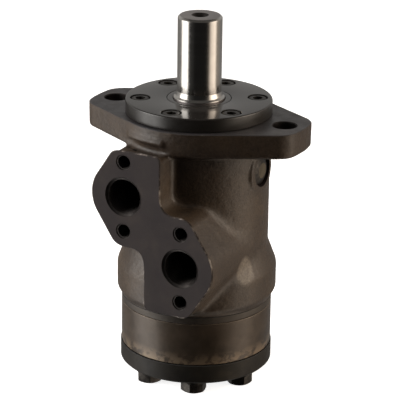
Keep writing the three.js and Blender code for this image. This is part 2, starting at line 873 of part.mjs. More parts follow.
placesAround(ringToothCount, endBoltCircle, firstBoltAngle).forEach(([x, y], i) => {
  place(`end_washer_${i + 1}`, endWasher, "fastenerBlack", [x, y, 0]);
  place(`end_bolt_${i + 1}`, endBolt(), "fastenerBlack", [x, y, 0], i * boltTurnStep);
});

const jointHeights = [
  housingBottom + sealHeightInGroove,
  ringTop - sealHeightInGroove,
  ringBottom + sealHeightInGroove,
];
["housing_o_ring", "plate_o_ring", "end_cover_o_ring"].forEach((name, i) => {
  place(name, roundSeal(jointRingRadius, jointRingThickness, jointHeights[i]), "rubber");
});

export default motor;
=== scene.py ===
import math

import bmesh
import bpy
import numpy as np
from mathutils import Matrix, Vector, noise


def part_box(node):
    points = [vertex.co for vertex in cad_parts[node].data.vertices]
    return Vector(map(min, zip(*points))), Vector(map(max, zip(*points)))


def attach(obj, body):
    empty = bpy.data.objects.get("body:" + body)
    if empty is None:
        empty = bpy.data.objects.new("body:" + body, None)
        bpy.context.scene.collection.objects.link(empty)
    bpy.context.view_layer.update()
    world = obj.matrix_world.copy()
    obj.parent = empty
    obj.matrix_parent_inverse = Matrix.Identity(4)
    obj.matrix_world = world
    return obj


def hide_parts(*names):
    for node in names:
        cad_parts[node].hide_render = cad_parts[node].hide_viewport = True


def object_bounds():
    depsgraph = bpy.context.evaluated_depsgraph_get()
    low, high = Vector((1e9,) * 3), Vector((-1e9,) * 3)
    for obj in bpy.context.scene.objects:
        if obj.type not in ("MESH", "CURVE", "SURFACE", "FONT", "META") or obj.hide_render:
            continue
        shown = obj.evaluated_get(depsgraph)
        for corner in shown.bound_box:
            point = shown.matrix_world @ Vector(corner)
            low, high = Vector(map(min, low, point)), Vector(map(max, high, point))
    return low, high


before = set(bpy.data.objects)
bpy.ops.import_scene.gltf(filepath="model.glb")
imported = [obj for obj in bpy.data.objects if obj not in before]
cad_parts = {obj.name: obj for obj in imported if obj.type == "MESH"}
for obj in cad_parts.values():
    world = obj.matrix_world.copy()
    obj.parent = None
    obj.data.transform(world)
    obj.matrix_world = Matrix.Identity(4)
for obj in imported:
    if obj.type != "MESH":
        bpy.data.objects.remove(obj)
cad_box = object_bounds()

MM = 0.001
TURN = 2 * math.pi


def frame_size(node):
    """(low, high) corners of a CAD node, in millimetres."""
    low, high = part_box(node)
    return low / MM, high / MM


# ---------- Sizes ----------

housing_low, housing_high = frame_size("housing")
cover_low, cover_high = frame_size("front_cover")
shaft_low, shaft_high = frame_size("output_shaft")
plate_low, plate_high = frame_size("distributor_plate")
ring_low, ring_high = frame_size("gerotor_ring")
end_low, end_high = frame_size("end_cover")
key_low, key_high = frame_size("shaft_key")
drain_low, drain_high = frame_size("drain_plug")
dust_low, dust_high = frame_size("dust_seal")

# Flange
FLANGE_THICKNESS = 14.3
FLANGE_WAIST_RADIUS = 44.0
FLANGE_END_RADIUS = housing_high.x
FLANGE_CORNER_RADIUS = 4.0
FLANGE_SIDE_ANGLE = math.radians(28.5)
FLANGE_LOWER_EDGE_RADIUS = 2.2
FLANGE_HOLE_X = 53.2
FLANGE_HOLE_RADIUS = 6.75

# Housing body
NECK_RADIUS = 40.5
COLLAR_RADIUS = 45.6
COLLAR_CONE_TOP = -75.5
COLLAR_TOP = -89.0
COLLAR_BOTTOM = -103.3
COLLAR_CHAMFER_BOTTOM = -107.0
GEAR_CASE_RADIUS = ring_high.x
MAIN_BORE_RADIUS = 18.0
RECESS_RADIUS = 23.0
RECESS_DEPTH = 13.2
PORT_GROOVE_DEPTH = 1.8
PORT_GROOVE_HALF_WIDTH = 5.0

# Port block
PORT_FACE = housing_low.y
PORT_PAIR_Z = -55.25
PORT_X = 17.8
PORT_Z = 17.75
PORT_BOSS_RADIUS = 20.2
PORT_RADIUS = 10.5
PORT_DEPTH = 17.0
PORT_THREAD = {"pitch": 1.814, "groove": 0.9}
PORT_PASSAGE_RADIUS = 7.0
PORT_SCREW_OFFSET = 20.0
PORT_SCREW_BOSS_RADIUS = 9.3
PORT_SCREW_RADIUS = 4.0
PORT_SCREW_DEPTH = 14.0
PORT_SCREW_THREAD = {"pitch": 1.25, "groove": 0.55}
BLOCK_STEP_X = 5.0
BLOCK_CORNER_RADIUS = 3.5
BLOCK_TOP = -10.6

# Drain boss
DRAIN_Z = -28.5
DRAIN_BOSS_RADIUS = 12.5
DRAIN_BOSS_FACE = 39.3
DRAIN_SPOT_RADIUS = 9.2
DRAIN_SPOT_FACE = 36.6
DRAIN_THREAD_RADIUS = 6.5
DRAIN_PLUG_FACE_RADIUS = 4.4

# Front cover
PILOT_RADIUS = cover_high.x
PILOT_TOP = cover_high.z
COVER_SCREW_COUNT = 6
COVER_SCREW_CIRCLE = 32.9
COVER_SCREW_HEAD_RADIUS = 5.0
COUNTERBORE_RADIUS = 5.7
COUNTERBORE_DEPTH = 4.8

# Shaft
SHAFT_RADIUS = 12.5
SHAFT_END = shaft_high.z
SEAL_SEAT_RADIUS = 14.4
SEAL_SEAT_HEIGHT = 9.2
SHOULDER_CONE_HEIGHT = 12.4
SPOOL_RADIUS = shaft_high.x
CENTRE_HOLE_RADIUS = 4.9

# Key
KEY_HALF_WIDTH = (key_high.x - key_low.x) / 2
KEY_HALF_LENGTH = (key_high.z - key_low.z) / 2

# Gear set and end
BOLT_COUNT = 7
BOLT_CIRCLE = 33.0
BOLT_HOLE_RADIUS = 4.35
BOLT_HEAD_ACROSS_FLATS = 13.0

# Clearance between neighbouring pieces, and how far a cutting tool reaches past what it cuts
GAP = 0.3
OVERRUN = 1.0


# ---------- Mesh tools ----------


def object_from(name, mesh):
    """A new object in the scene."""
    piece = bpy.data.objects.new(name, mesh)
    bpy.context.scene.collection.objects.link(piece)
    return piece


def mesh_from(name, points, faces):
    """A mesh in metres from points in millimetres."""
    mesh = bpy.data.meshes.new(name)
    mesh.from_pydata((np.asarray(points, float) * MM).tolist(), [], faces)
    mesh.validate()
    return mesh


def smooth_shaded(piece, angle=35):
    """Smooth shading, with the edges that are sharper than the angle left crisp."""
    limit = math.radians(angle)
    shape = bmesh.new()
    shape.from_mesh(piece.data)
    for face in shape.faces:
        face.smooth = True
    for edge in shape.edges:
        edge.smooth = len(edge.link_faces) == 2 and edge.calc_face_angle(0) < limit
    shape.to_mesh(piece.data)
    shape.free()
    return piece


def rounded_profile(corners, steps=4):
    """A list of [r, z] or [r, z, radius]: a corner with a radius becomes an arc."""
    result = []
    count = len(corners)
    for i, corner in enumerate(corners):
        here = Vector(corner[:2])
        radius = corner[2] if len(corner) > 2 else 0
        if radius <= 0:
            result.append(here)
            continue
        before = (Vector(corners[(i - 1) % count][:2]) - here).normalized()
        after = (Vector(corners[(i + 1) % count][:2]) - here).normalized()
        half = before.angle(after) / 2
        middle = here + (before + after).normalized() * (radius / math.sin(half))
        start = here + before * (radius / math.tan(half)) - middle
        end = here + after * (radius / math.tan(half)) - middle
        sweep = start.angle(end)
        for k in range(steps + 1):
            t = k / steps
            weight_start = math.sin((1 - t) * sweep) / math.sin(sweep)
            weight_end = math.sin(t * sweep) / math.sin(sweep)
            result.append(middle + start * weight_start + end * weight_end)
    return result


def lathe(name, corners, segments=160, inner=None):
    """A closed body turned about Z. inner(angle) gives the radius of corners whose r is None."""
    profile = rounded_profile(
        [[-1.0, *corner[1:]] if corner[0] is None else corner for corner in corners]
    )
    points, faces = [], []
    rows = []
    for r, z in profile:
        if abs(r) < 1e-6:
            rows.append([len(points)] * segments)
            points.append((0, 0, z))
            continue
        rows.append(list(range(len(points), len(points) + segments)))
        for k in range(segments):
            angle = TURN * k / segments
            radius = inner(angle) if r < 0 else r
            points.append((radius * math.cos(angle), radius * math.sin(angle), z))
    for i, row in enumerate(rows):
        above = rows[(i + 1) % len(rows)]
        if row[0] == row[1] and above[0] == above[1]:
            continue
        for k in range(segments):
            n = (k + 1) % segments
            corners_of_face = [row[k], row[n], above[n], above[k]]
            faces.append(list(dict.fromkeys(corners_of_face)))
    return object_from(name, mesh_from(name, points, faces))


def prism(name, outline, bottom, top):
    """A flat outline of (x, y) points pulled up from bottom to top."""
    count = len(outline)
    points = [(x, y, z) for z in (bottom, top) for x, y in outline]
    faces = [list(range(count))[::-1], list(range(count, 2 * count))]
    faces += [[k, (k + 1) % count, count + (k + 1) % count, count + k] for k in range(count)]
    return object_from(name, mesh_from(name, points, faces))


def hexagon(across_flats, corner_radius=0.25):
    """A hexagon with slightly rounded corners."""
    reach = (across_flats / 2 - corner_radius) / math.cos(math.pi / 6)
    points = []
    for k in range(6):
        middle = TURN * k / 6
        for lean in (-0.5, 0, 0.5):
            turn = middle + lean * TURN / 6
            points.append((
                reach * math.cos(middle) + corner_radius * math.cos(turn),
                reach * math.sin(middle) + corner_radius * math.sin(turn),
            ))
    return points


def turned_to(piece, matrix):
    """Moves the mesh itself, so that the object stays at the origin."""
    piece.data.transform(matrix)
    return piece


def moved(piece, x=0.0, y=0.0, z=0.0):
    return turned_to(piece, Matrix.Translation(Vector((x, y, z)) * MM))


def along_x(piece):
    """What pointed up now points along +X."""
    return turned_to(piece, Matrix.Rotation(math.pi / 2, 4, "Y"))


def along_y(piece):
    """What pointed up now points into the port face, along +Y."""
    return turned_to(piece, Matrix.Rotation(-math.pi / 2, 4, "X"))


def boolean(piece, tools, operation="DIFFERENCE"):
    """Cuts the piece with the tools, or joins or crosses it with them, and deletes them."""
    bpy.context.view_layer.update()
    for tool in tools:
        step = piece.modifiers.new("cut", "BOOLEAN")
        step.object = tool
        step.operation = operation
        step.solver = "MANIFOLD"
    depsgraph = bpy.context.evaluated_depsgraph_get()
    mesh = bpy.data.meshes.new_from_object(piece.evaluated_get(depsgraph))
    piece.modifiers.clear()
    old = piece.data
    piece.data = mesh
    bpy.data.meshes.remove(old)
    for tool in tools:
        data = tool.data
        bpy.data.objects.remove(tool)
        bpy.data.meshes.remove(data)
    return piece


def places_around(count, radius, first):
    """[(x, y, angle)] round the axis."""
    angles = [first + TURN * k / count for k in range(count)]
    return [(radius * math.cos(a), radius * math.sin(a), a) for a in angles]


def drill(name, radius, bottom, top, chamfer=0.0, segments=64):
    """A round tool along Z that reaches past its top, where it can open out in a chamfer."""
    corners = [[0, bottom], [radius, bottom]]
    if chamfer:
        corners += [[radius, top - chamfer], [radius + chamfer, top]]
    corners += [[radius + chamfer, top + OVERRUN], [0, top + OVERRUN]]
    return lathe(name, corners, segments)


def thread_tool(name, radius, depth, pitch, groove, segments=48, steps_per_pitch=5):
    """A tapped hole's tool along Z, from z = -depth to above 0: its wall is a helical groove."""
    rows = int(depth / pitch) * steps_per_pitch
    points, faces = [], []
    heights = [-depth + pitch / steps_per_pitch * k for k in range(rows)]
    for z in heights:
        for k in range(segments):
            turn = k / segments
            phase = (z / pitch - turn) % 1.0
            wave = 1 - abs(2 * phase - 1)
            reach = radius - groove + groove * wave
            points.append((reach * math.cos(TURN * turn), reach * math.sin(TURN * turn), z))
    for reach, z in ((radius, -groove), (radius + groove, 0), (radius + groove, OVERRUN)):
        for k in range(segments):
            turn = TURN * k / segments
            points.append((reach * math.cos(turn), reach * math.sin(turn), z))
    for i in range(len(heights) + 2):
        for k in range(segments):
            n = (k + 1) % segments
            a, b = i * segments, (i + 1) * segments
            faces.append([a + k, a + n, b + n, b + k])
    faces.append(list(range(segments))[::-1])
    top = (len(heights) + 2) * segments
    faces.append(list(range(top, top + segments)))
    return object_from(name, mesh_from(name, points, faces))


# ---------- Signed distances, for the casting ----------


def smooth_min(a, b, k):
    """The smaller of two distances, with a fillet of about k where they meet."""
    h = np.maximum(k - np.abs(a - b), 0) / k
    return np.minimum(a, b) - h * h * k / 4


def round_max(a, b, r):
    """The larger of two distances, with an outside corner of radius r."""
    outside = np.hypot(np.maximum(a + r, 0), np.maximum(b + r, 0))
    return np.minimum(np.maximum(a, b), -r) + outside


def uneven_capsule(x, y, r1, r2, h):
    """Circles of r1 at the origin and r2 at y = h, with their common tangents."""
    x = np.abs(x)
    b = (r1 - r2) / h
    a = math.sqrt(1 - b * b)
    k = a * y - b * x
    near = np.hypot(x, y) - r1
    far = np.hypot(x, y - h) - r2
    return np.where(k < 0, near, np.where(k > a * h, far, a * x + b * y - r1))


def box_2d(x, y, low, high, r):
    """A rectangle with corner radius r."""
    qx = np.abs(x - (low[0] + high[0]) / 2) - (high[0] - low[0]) / 2 + r
    qy = np.abs(y - (low[1] + high[1]) / 2) - (high[1] - low[1]) / 2 + r
    return np.hypot(np.maximum(qx, 0), np.maximum(qy, 0)) + np.minimum(np.maximum(qx, qy), 0) - r


def flange_distance(x, y):
    """The oval flange seen from above."""
    reach = np.hypot(x, y)
    side = np.abs(x) * math.sin(FLANGE_SIDE_ANGLE) + np.abs(y) * math.cos(FLANGE_SIDE_ANGLE)
    at_waist = np.arctan2(np.abs(x), np.abs(y)) < FLANGE_SIDE_ANGLE
    side = np.where(at_waist, reach, side) - FLANGE_WAIST_RADIUS
    return round_max(side, reach - FLANGE_END_RADIUS, FLANGE_CORNER_RADIUS)


def lobe_distance(x, z):
    """One half of the port face: a port with its two screw holes, and the step towards the other half."""
    u, v = x + PORT_X, z - PORT_Z
    above = uneven_capsule(u, v, PORT_BOSS_RADIUS, PORT_SCREW_BOSS_RADIUS, PORT_SCREW_OFFSET)
    below = uneven_capsule(u, -v, PORT_BOSS_RADIUS, PORT_SCREW_BOSS_RADIUS, PORT_SCREW_OFFSET)
    reach = PORT_SCREW_OFFSET + PORT_SCREW_BOSS_RADIUS
    corner = BLOCK_CORNER_RADIUS
    step = box_2d(x, z, (-PORT_X, PORT_Z - reach), (BLOCK_STEP_X, PORT_Z + reach), corner)
    bridge = box_2d(x, z, (-PORT_X, PORT_Z - reach), (BLOCK_STEP_X - corner, PORT_Z + corner), 0)
    return np.minimum(np.minimum(above, below), np.minimum(step, bridge))


def block_distance(x, z):
    """The port face's outline, with z measured from the middle of the two ports."""
    fillet = 10.0
    top_corner = 3.0
    lobes = smooth_min(lobe_distance(x, z), lobe_distance(-x, -z), fillet)
    return round_max(lobes, z + PORT_PAIR_Z - BLOCK_TOP, top_corner)


def body_distance(reach, z):
    """The turned body: neck, cone, collar and chamfer."""
    beyond = 9.0
    heights = np.array([
        housing_low.z - beyond, COLLAR_CHAMFER_BOTTOM, COLLAR_BOTTOM, COLLAR_TOP, COLLAR_CONE_TOP, beyond,
    ])
    radii = np.array([
        GEAR_CASE_RADIUS, GEAR_CASE_RADIUS, COLLAR_RADIUS, COLLAR_RADIUS, NECK_RADIUS, NECK_RADIUS,
    ])
    softening = 1.1 * np.linspace(-1, 1, 7)
    radius = np.mean([np.interp(z + s, heights, radii) for s in softening], axis=0)
    slope = np.gradient(radius.ravel(), z.ravel()).reshape(z.shape)
    return (reach - radius) / np.hypot(1, slope)


def casting_distance(x, y, z):
    """The housing as cast, before machining. x, y and z are open grids."""
    reach = np.hypot(x, y)
    body = body_distance(reach, z)
    flange = round_max(flange_distance(x, y), -(z + FLANGE_THICKNESS), FLANGE_LOWER_EDGE_RADIUS)
    # The block's top is a shallow trough between the port face and the flange.
    trough_depth, trough_wall, trough_slope = 2.0, 0.8, 2.5
    trough = trough_depth * np.clip((y - PORT_FACE - trough_wall) / trough_slope, 0, 1)
    up = z - PORT_PAIR_Z
    top_start, top_fade = 30, 10
    at_top = np.clip((up - top_start) / top_fade, 0, 1)
    draft = 0.035 * (y - PORT_FACE)
    block = block_distance(x, up + trough * at_top) - draft
    block_back = -8.0
    block = np.maximum(block, y - block_back)
    block_fillet = 3.4
    shape = smooth_min(body, block, block_fillet)
    flange_fillet = 2.5
    shape = smooth_min(shape, flange, flange_fillet)

    # A low ridge on the flange's side, over the hollow where the block's top runs into it.
    ridge_height, ridge_z, ridge_half_width, ridge_edge = 1.2, -7.4, 1.8, 1.5
    ridge_left, ridge_right, ridge_back = -25.0, 1.5, -25.0
    blending = 2.2
    ridge = round_max(reach - FLANGE_WAIST_RADIUS - ridge_height, x - ridge_right, ridge_edge)
    ridge = round_max(ridge, ridge_left - x, ridge_edge)
    ridge = round_max(ridge, np.abs(z - ridge_z) - ridge_half_width, ridge_edge)
    shape = smooth_min(shape, np.maximum(ridge, y - ridge_back), blending)
    hollow_out, hollow_z, hollow_radius, hollow_back = 1.4, -11.6, 2.5, -30.0
    hollow_middle, hollow_half_length, hollow_fade = -12.0, 10.0, 0.35
    hollow = np.hypot(reach - FLANGE_WAIST_RADIUS - hollow_out, z - hollow_z) - hollow_radius
    past_end = np.clip(np.abs(x - hollow_middle) - hollow_half_length, 0, None)
    hollow = np.maximum(hollow, y - hollow_back) + past_end * hollow_fade
    shape = -smooth_min(-shape, hollow, blending)

    boss_allowance, boss_edge = 0.9, 1.2
    boss = np.hypot(y, z - DRAIN_Z) - DRAIN_BOSS_RADIUS
    boss = round_max(boss, x - DRAIN_BOSS_FACE - boss_allowance, boss_edge)
    boss = np.maximum(boss, NECK_RADIUS / 2 - x)
    boss_fillet = 2.0
    return smooth_min(shape, boss, boss_fillet)


def surface_nets(field, low, step):
    """Points and quads of the surface where the field is zero. Negative is inside."""
    inside = field < 0
    corner_steps = [(i, j, k) for i in (0, 1) for j in (0, 1) for k in (0, 1)]
    cells = [n - 1 for n in field.shape]
    count = np.zeros(cells, np.int8)
    for i, j, k in corner_steps:
        count += inside[i:i + cells[0], j:j + cells[1], k:k + cells[2]]
    active = np.argwhere((count > 0) & (count < 8))
    values = np.stack([field[tuple((active + c).T)] for c in corner_steps], 1)
    total = np.zeros((len(active), 3))
    crossings = np.zeros((len(active), 1))
    for a, first in enumerate(corner_steps):
        for b, second in enumerate(corner_steps):
            if b <= a or sum(abs(p - q) for p, q in zip(first, second)) != 1:
                continue
            va, vb = values[:, a], values[:, b]
            crosses = ((va < 0) != (vb < 0))[:, None]
            share = (va / np.where(va == vb, 1, va - vb))[:, None]
            total += crosses * (np.array(first) + share * (np.array(second) - np.array(first)))
            crossings += crosses
    points = low + step * (active + total / crossings)

    index = np.full(cells, -1, np.int64)
    index[tuple(active.T)] = np.arange(len(active))
    quads = []
    for axis in range(3):
        b, c = np.eye(3, dtype=int)[(axis + 1) % 3], np.eye(3, dtype=int)[(axis + 2) % 3]
        start = [slice(1, -1)] * 3
        end = [slice(1, -1)] * 3
        start[axis], end[axis] = slice(0, -1), slice(1, None)
        here, there = inside[tuple(start)], inside[tuple(end)]
        edges = np.argwhere(here != there)
        outward = here[tuple(edges.T)]
        edges = edges + 1 - np.eye(3, dtype=int)[axis]
        ring = [index[tuple((edges - d).T)] for d in (b + c, c, 0 * b, b)]
        quad = np.stack(ring, 1)
        quads.append(np.where(outward[:, None], quad, quad[:, ::-1]))
    return points, np.concatenate(quads)


def inset_direction(distance, u, v):
    """The direction across an outline, outwards, at (u, v)."""
    e = 0.05
    du = float(distance(u + e, v) - distance(u - e, v))
    dv = float(distance(u, v + e) - distance(u, v - e))
    length = math.hypot(du, dv) or 1.0
    return du / length, dv / length


def machine_face(shape, axis, sign, level, chamfer, materials, outline=None, centre=0.0):
    """Cuts a flat face across the casting at a level of an axis, with a small chamfer round it.

    shape is a bmesh in metres; materials are the face's and the chamfer's indices. outline is the distance
    function of the casting's outline there, and centre is where its second axis starts.
    """
    normal = Vector([sign if i == axis else 0 for i in range(3)])
    start = normal * (level - sign * chamfer) * sign * MM
    everything = shape.verts[:] + shape.edges[:] + shape.faces[:]
    bmesh.ops.bisect_plane(
        shape, geom=everything, dist=1e-7, plane_co=start, plane_no=normal, clear_outer=True,
    )
    rim = [edge for edge in shape.edges if len(edge.link_faces) == 1]
    if outline:
        wall = bmesh.ops.extrude_edge_only(shape, edges=rim)["geom"]
        for face in (item for item in wall if isinstance(item, bmesh.types.BMFace)):
            face.material_index = materials[1]
        across = [i for i in range(3) if i != axis]
        for vertex in (item for item in wall if isinstance(item, bmesh.types.BMVert)):
            u, v = vertex.co[across[0]] / MM, vertex.co[across[1]] / MM - centre
            du, dv = inset_direction(outline, np.float64(u), np.float64(v))
            vertex.co[across[0]] -= du * chamfer * MM
            vertex.co[across[1]] -= dv * chamfer * MM
            vertex.co[axis] = level * MM
        rim = [item for item in wall if isinstance(item, bmesh.types.BMEdge)]
        rim = [edge for edge in rim if len(edge.link_faces) == 1]
    cap = bmesh.ops.holes_fill(shape, edges=rim, sides=0)["faces"]
    for face in cap:
        face.material_index = materials[0]


# ---------- Materials ----------


class Nodes:
    """Short calls for making the nodes of a tree."""

    def __init__(self, tree):
        self.tree = tree

    def add(self, kind, **properties):
        node = self.tree.nodes.new(kind)
        for key, value in properties.items():
            setattr(node, key, value)
        return node

    def link(self, output, socket):
        self.tree.links.new(output, socket)

    def map_range(self, value, low, high, **properties):
        """Brings the value from between low and high to between 0 and 1."""
        node = self.add("ShaderNodeMapRange", **properties)
        node.inputs["From Min"].default_value = low
        node.inputs["From Max"].default_value = high
        self.link(value, node.inputs["Value"])
        return node.outputs[0]

    def ramp(self, value, stops):
        """Stops are (position, colour or grey)."""
        node = self.add("ShaderNodeValToRGB")
        band = node.color_ramp
        while len(band.elements) < len(stops):
            band.elements.new(0.5)
        for element, (position, colour) in zip(band.elements, stops):
            element.position = position
            if isinstance(colour, (int, float)):
                colour = (colour, colour, colour)
            element.color = (*colour, 1)
        self.link(value, node.inputs["Fac"])
        return node.outputs["Color"]

    def mix(self, factor, a, b, blend="MIX"):
        node = self.add("ShaderNodeMix", data_type="RGBA", blend_type=blend)
        for socket, value in zip((node.inputs[0], node.inputs[6], node.inputs[7]), (factor, a, b)):
            if isinstance(value, bpy.types.NodeSocket):
                self.link(value, socket)
            elif isinstance(value, (int, float)):
                socket.default_value = value
            else:
                socket.default_value = (*value, 1)
        return node.outputs[2]


class Finish(Nodes):
    """The nodes of a new material. Sizes of patterns are in metres."""

    def __init__(self, name):
        self.material = bpy.data.materials.new(name)
        self.material.use_nodes = True
        super().__init__(self.material.node_tree)
        self.shader = self.tree.nodes["Principled BSDF"]
        self.coordinates = self.add("ShaderNodeTexCoord").outputs["Object"]

    def stretched(self, scale):
        node = self.add("ShaderNodeMapping")
        node.inputs["Scale"].default_value = scale
        self.link(self.coordinates, node.inputs["Vector"])
        return node.outputs["Vector"]

    def noise(self, size, detail=4.0, roughness=0.5, vector=None, distortion=0.0):
        """Noise whose features are about size metres across, from 0 to 1."""
        node = self.add("ShaderNodeTexNoise")
        node.inputs["Scale"].default_value = 1 / size
        node.inputs["Detail"].default_value = detail
        node.inputs["Roughness"].default_value = roughness
        node.inputs["Distortion"].default_value = distortion
        self.link(vector or self.coordinates, node.inputs["Vector"])
        return node.outputs["Fac"]

    def turning_marks(self):
        """Noise drawn out round the axis, as a lathe leaves it."""
        return self.noise(0.0012, 3, 0.5, self.stretched((0.2, 0.2, 1.0)))

    def mottle(self, pattern, low, high):
        """The pattern's darker and lighter patches as two colours or two greys."""
        return self.ramp(pattern, [(0.3, low), (0.7, high)])

    def bump(self, height, strength, distance, normal=None):
        node = self.add("ShaderNodeBump")
        node.inputs["Strength"].default_value = strength
        node.inputs["Distance"].default_value = distance
        self.link(height, node.inputs["Height"])
        if normal:
            self.link(normal, node.inputs["Normal"])
        return node.outputs["Normal"]

    def finish(self, colour, roughness, normal=None, metallic=0.0, specular=0.5):
        self.link(colour, self.shader.inputs["Base Color"])
        self.link(roughness, self.shader.inputs["Roughness"])
        if normal:
            self.link(normal, self.shader.inputs["Normal"])
        self.shader.inputs["Metallic"].default_value = metallic
        self.shader.inputs["Specular IOR Level"].default_value = specular
        return self.material


def cast_skin():
    """Phosphated and oiled sand-cast iron: dark brown-grey, warmer and cooler in patches, and grainy, with a
    painted highlight on the collar's cone.
    """
    n = Finish("cast_skin")
    base = n.ramp(n.noise(0.028, 3), [
        (0.32, (0.031, 0.0220, 0.0160)), (0.52, (0.043, 0.0300, 0.0200)), (0.72, (0.060, 0.0410, 0.0255)),
    ])
    # Painted highlight: a light, speckled spot on the collar's cone, where it faces the right-hand light.
    middle, squeeze = (39.3, -18.0, -83.0), (1.0, 1.0, 0.72)
    outer, inner = 7.0 * MM, 5.0 * MM
    distance = n.add("ShaderNodeVectorMath", operation="DISTANCE")
    distance.inputs[1].default_value = [c * MM * k for c, k in zip(middle, squeeze)]
    n.link(n.stretched(squeeze), distance.inputs[0])
    # How far into the painted highlight's spot a point lies.
    near = n.map_range(distance.outputs["Value"], outer, inner)
    cone_highlight_colour = n.ramp(n.noise(0.0013, 3, 0.6), [(0.34, (0.100, 0.082, 0.064)), (0.66, (0.165, 0.140, 0.113))])
    base = n.mix(near, base, cone_highlight_colour)
    grain = n.noise(0.0011, 6, 0.62)
    colour = n.mix(1.0, base, n.ramp(grain, [(0.32, 0.70), (0.62, 1.28)]), "MULTIPLY")
    roughness = n.mottle(n.noise(0.0024, 3, 0.6), 0.33, 0.52)
    normal = n.bump(grain, 0.55, 0.00022)
    normal = n.bump(n.noise(0.0036, 4), 0.35, 0.0006, normal)
    return n.finish(colour, roughness, normal, specular=0.62)


def machined_iron():
    """A milled iron face, oiled and handled: smoother than the skin, with fine marks and light specks."""
    n = Finish("machined_iron")
    base = n.ramp(n.noise(0.018, 4, 0.6), [
        (0.3, (0.025, 0.020, 0.021)), (0.55, (0.033, 0.0265, 0.026)), (0.8, (0.048, 0.038, 0.033)),
    ])
    speck = n.ramp(n.noise(0.0021, 3, 0.6), [(0.735, 0.0), (0.76, 1.0)])
    colour = n.mix(speck, base, (0.20, 0.17, 0.145))
    roughness = n.ramp(n.noise(0.004, 5), [(0.3, 0.40), (0.75, 0.56)])
    lay = n.noise(0.0009, 3, 0.5, n.stretched((1.0, 1.0, 0.12)))
    return n.finish(colour, roughness, n.bump(lay, 0.25, 0.00006), specular=0.25)


def worn_edge():
    """The chamfer round a machined face: bright where it is chipped, dark between."""
    n = Finish("worn_edge")
    chips = n.noise(0.0110, 5, 0.68)
    colour = n.ramp(chips, [
        (0.50, (0.042, 0.035, 0.032)), (0.57, (0.20, 0.17, 0.15)), (0.66, (0.62, 0.56, 0.50)),
    ])
    roughness = n.ramp(chips, [(0.4, 0.55), (0.6, 0.38)])
    return n.finish(colour, roughness, n.bump(chips, 0.5, 0.0003), metallic=0.2)


def flange_top():
    """The flange's turned mounting face: even dark grey with a fine lay."""
    n = Finish("flange_top")
    base = n.mottle(n.noise(0.02, 4), (0.030, 0.029, 0.033), (0.048, 0.043, 0.042))
    speck = n.ramp(n.noise(0.0016, 3, 0.6), [(0.62, 0.0), (0.74, 1.0)])
    colour = n.mix(speck, base, (0.12, 0.11, 0.10))
    roughness = n.mottle(n.noise(0.006, 5), 0.34, 0.48)
    return n.finish(colour, roughness, n.bump(n.noise(0.0012, 5, 0.6), 0.3, 0.00008), specular=0.7)


def bore_iron_and_hole_shade():
    """Bored and tapped holes: bare iron, dark with oil. In the shaft's centre hole this dark colour is
    painted shade.
    """
    n = Finish("bore_iron_and_hole_shade")
    colour = n.mottle(n.noise(0.003, 4), (0.030, 0.027, 0.026), (0.060, 0.053, 0.050))
    roughness = n.mottle(n.noise(0.002, 3), 0.35, 0.5)
    return n.finish(colour, roughness, metallic=0.8)


def cover_finish():
    """Black-oxided and oiled steel, glossy enough to mirror the shaft, with fine turning marks."""
    n = Finish("cover_finish")
    colour = n.mottle(n.noise(0.03, 4), (0.014, 0.013, 0.012), (0.024, 0.021, 0.019))
    roughness = n.mottle(n.noise(0.008, 5), 0.08, 0.14)
    return n.finish(colour, roughness, n.bump(n.noise(0.0007, 4, 0.6), 0.12, 0.00002), specular=1.0)


def cover_rim():
    """The turned edge of the front cover: the same oxide over coarser marks, in a darker colour than the top
    that is painted shade.
    """
    n = Finish("cover_rim")
    colour = n.mottle(n.noise(0.03, 4), (0.009, 0.008, 0.007), (0.016, 0.014, 0.012))
    roughness = n.mottle(n.noise(0.008, 5), 0.30, 0.40)
    marks = n.turning_marks()
    return n.finish(colour, roughness, n.bump(marks, 0.15, 0.00003), specular=0.8)


def ring_finish():
    """The gear ring: brownish oiled steel, darker above, with pale rubbed patches low down."""
    n = Finish("ring_finish")
    blotch = n.noise(0.0065, 6, 0.66, n.stretched((1.0, 1.0, 1.6)), 0.5)
    height = n.add("ShaderNodeSeparateXYZ")
    n.link(n.coordinates, height.inputs[0])
    worn_from, worn_fully = 7.5, 1.5
    low = n.map_range(height.outputs["Z"], (ring_low.z + worn_from) * MM, (ring_low.z + worn_fully) * MM)
    worn = n.add("ShaderNodeMath", operation="MULTIPLY")
    n.link(low, worn.inputs[0])
    n.link(n.ramp(blotch, [(0.44, 0.0), (0.54, 1.0)]), worn.inputs[1])
    base = n.mottle(n.noise(0.012, 5, 0.6), (0.040, 0.030, 0.022), (0.078, 0.059, 0.043))
    colour = n.mix(worn.outputs[0], base, (0.190, 0.143, 0.098))
    roughness = n.ramp(blotch, [(0.35, 0.28), (0.7, 0.42)])
    marks = n.turning_marks()
    return n.finish(colour, roughness, n.bump(marks, 0.2, 0.00005), metallic=0.3, specular=0.6)


def painted_ring_edge_highlight():
    """The gear ring's upper edge, painted pale as a highlight along it."""
    n = Finish("painted_ring_edge_highlight")
    colour = n.mottle(n.noise(0.005, 5, 0.6), (0.070, 0.056, 0.044), (0.250, 0.205, 0.160))
    roughness = n.mottle(n.noise(0.003, 4), 0.30, 0.45)
    return n.finish(colour, roughness, metallic=0.5)


def plate_finish():
    """The ground edge of the distributor plate."""
    n = Finish("plate_finish")
    colour = n.mottle(n.noise(0.012, 4), (0.040, 0.034, 0.029), (0.066, 0.056, 0.046))
    roughness = n.mottle(n.noise(0.003, 4), 0.40, 0.55)
    return n.finish(colour, roughness, metallic=0.3)


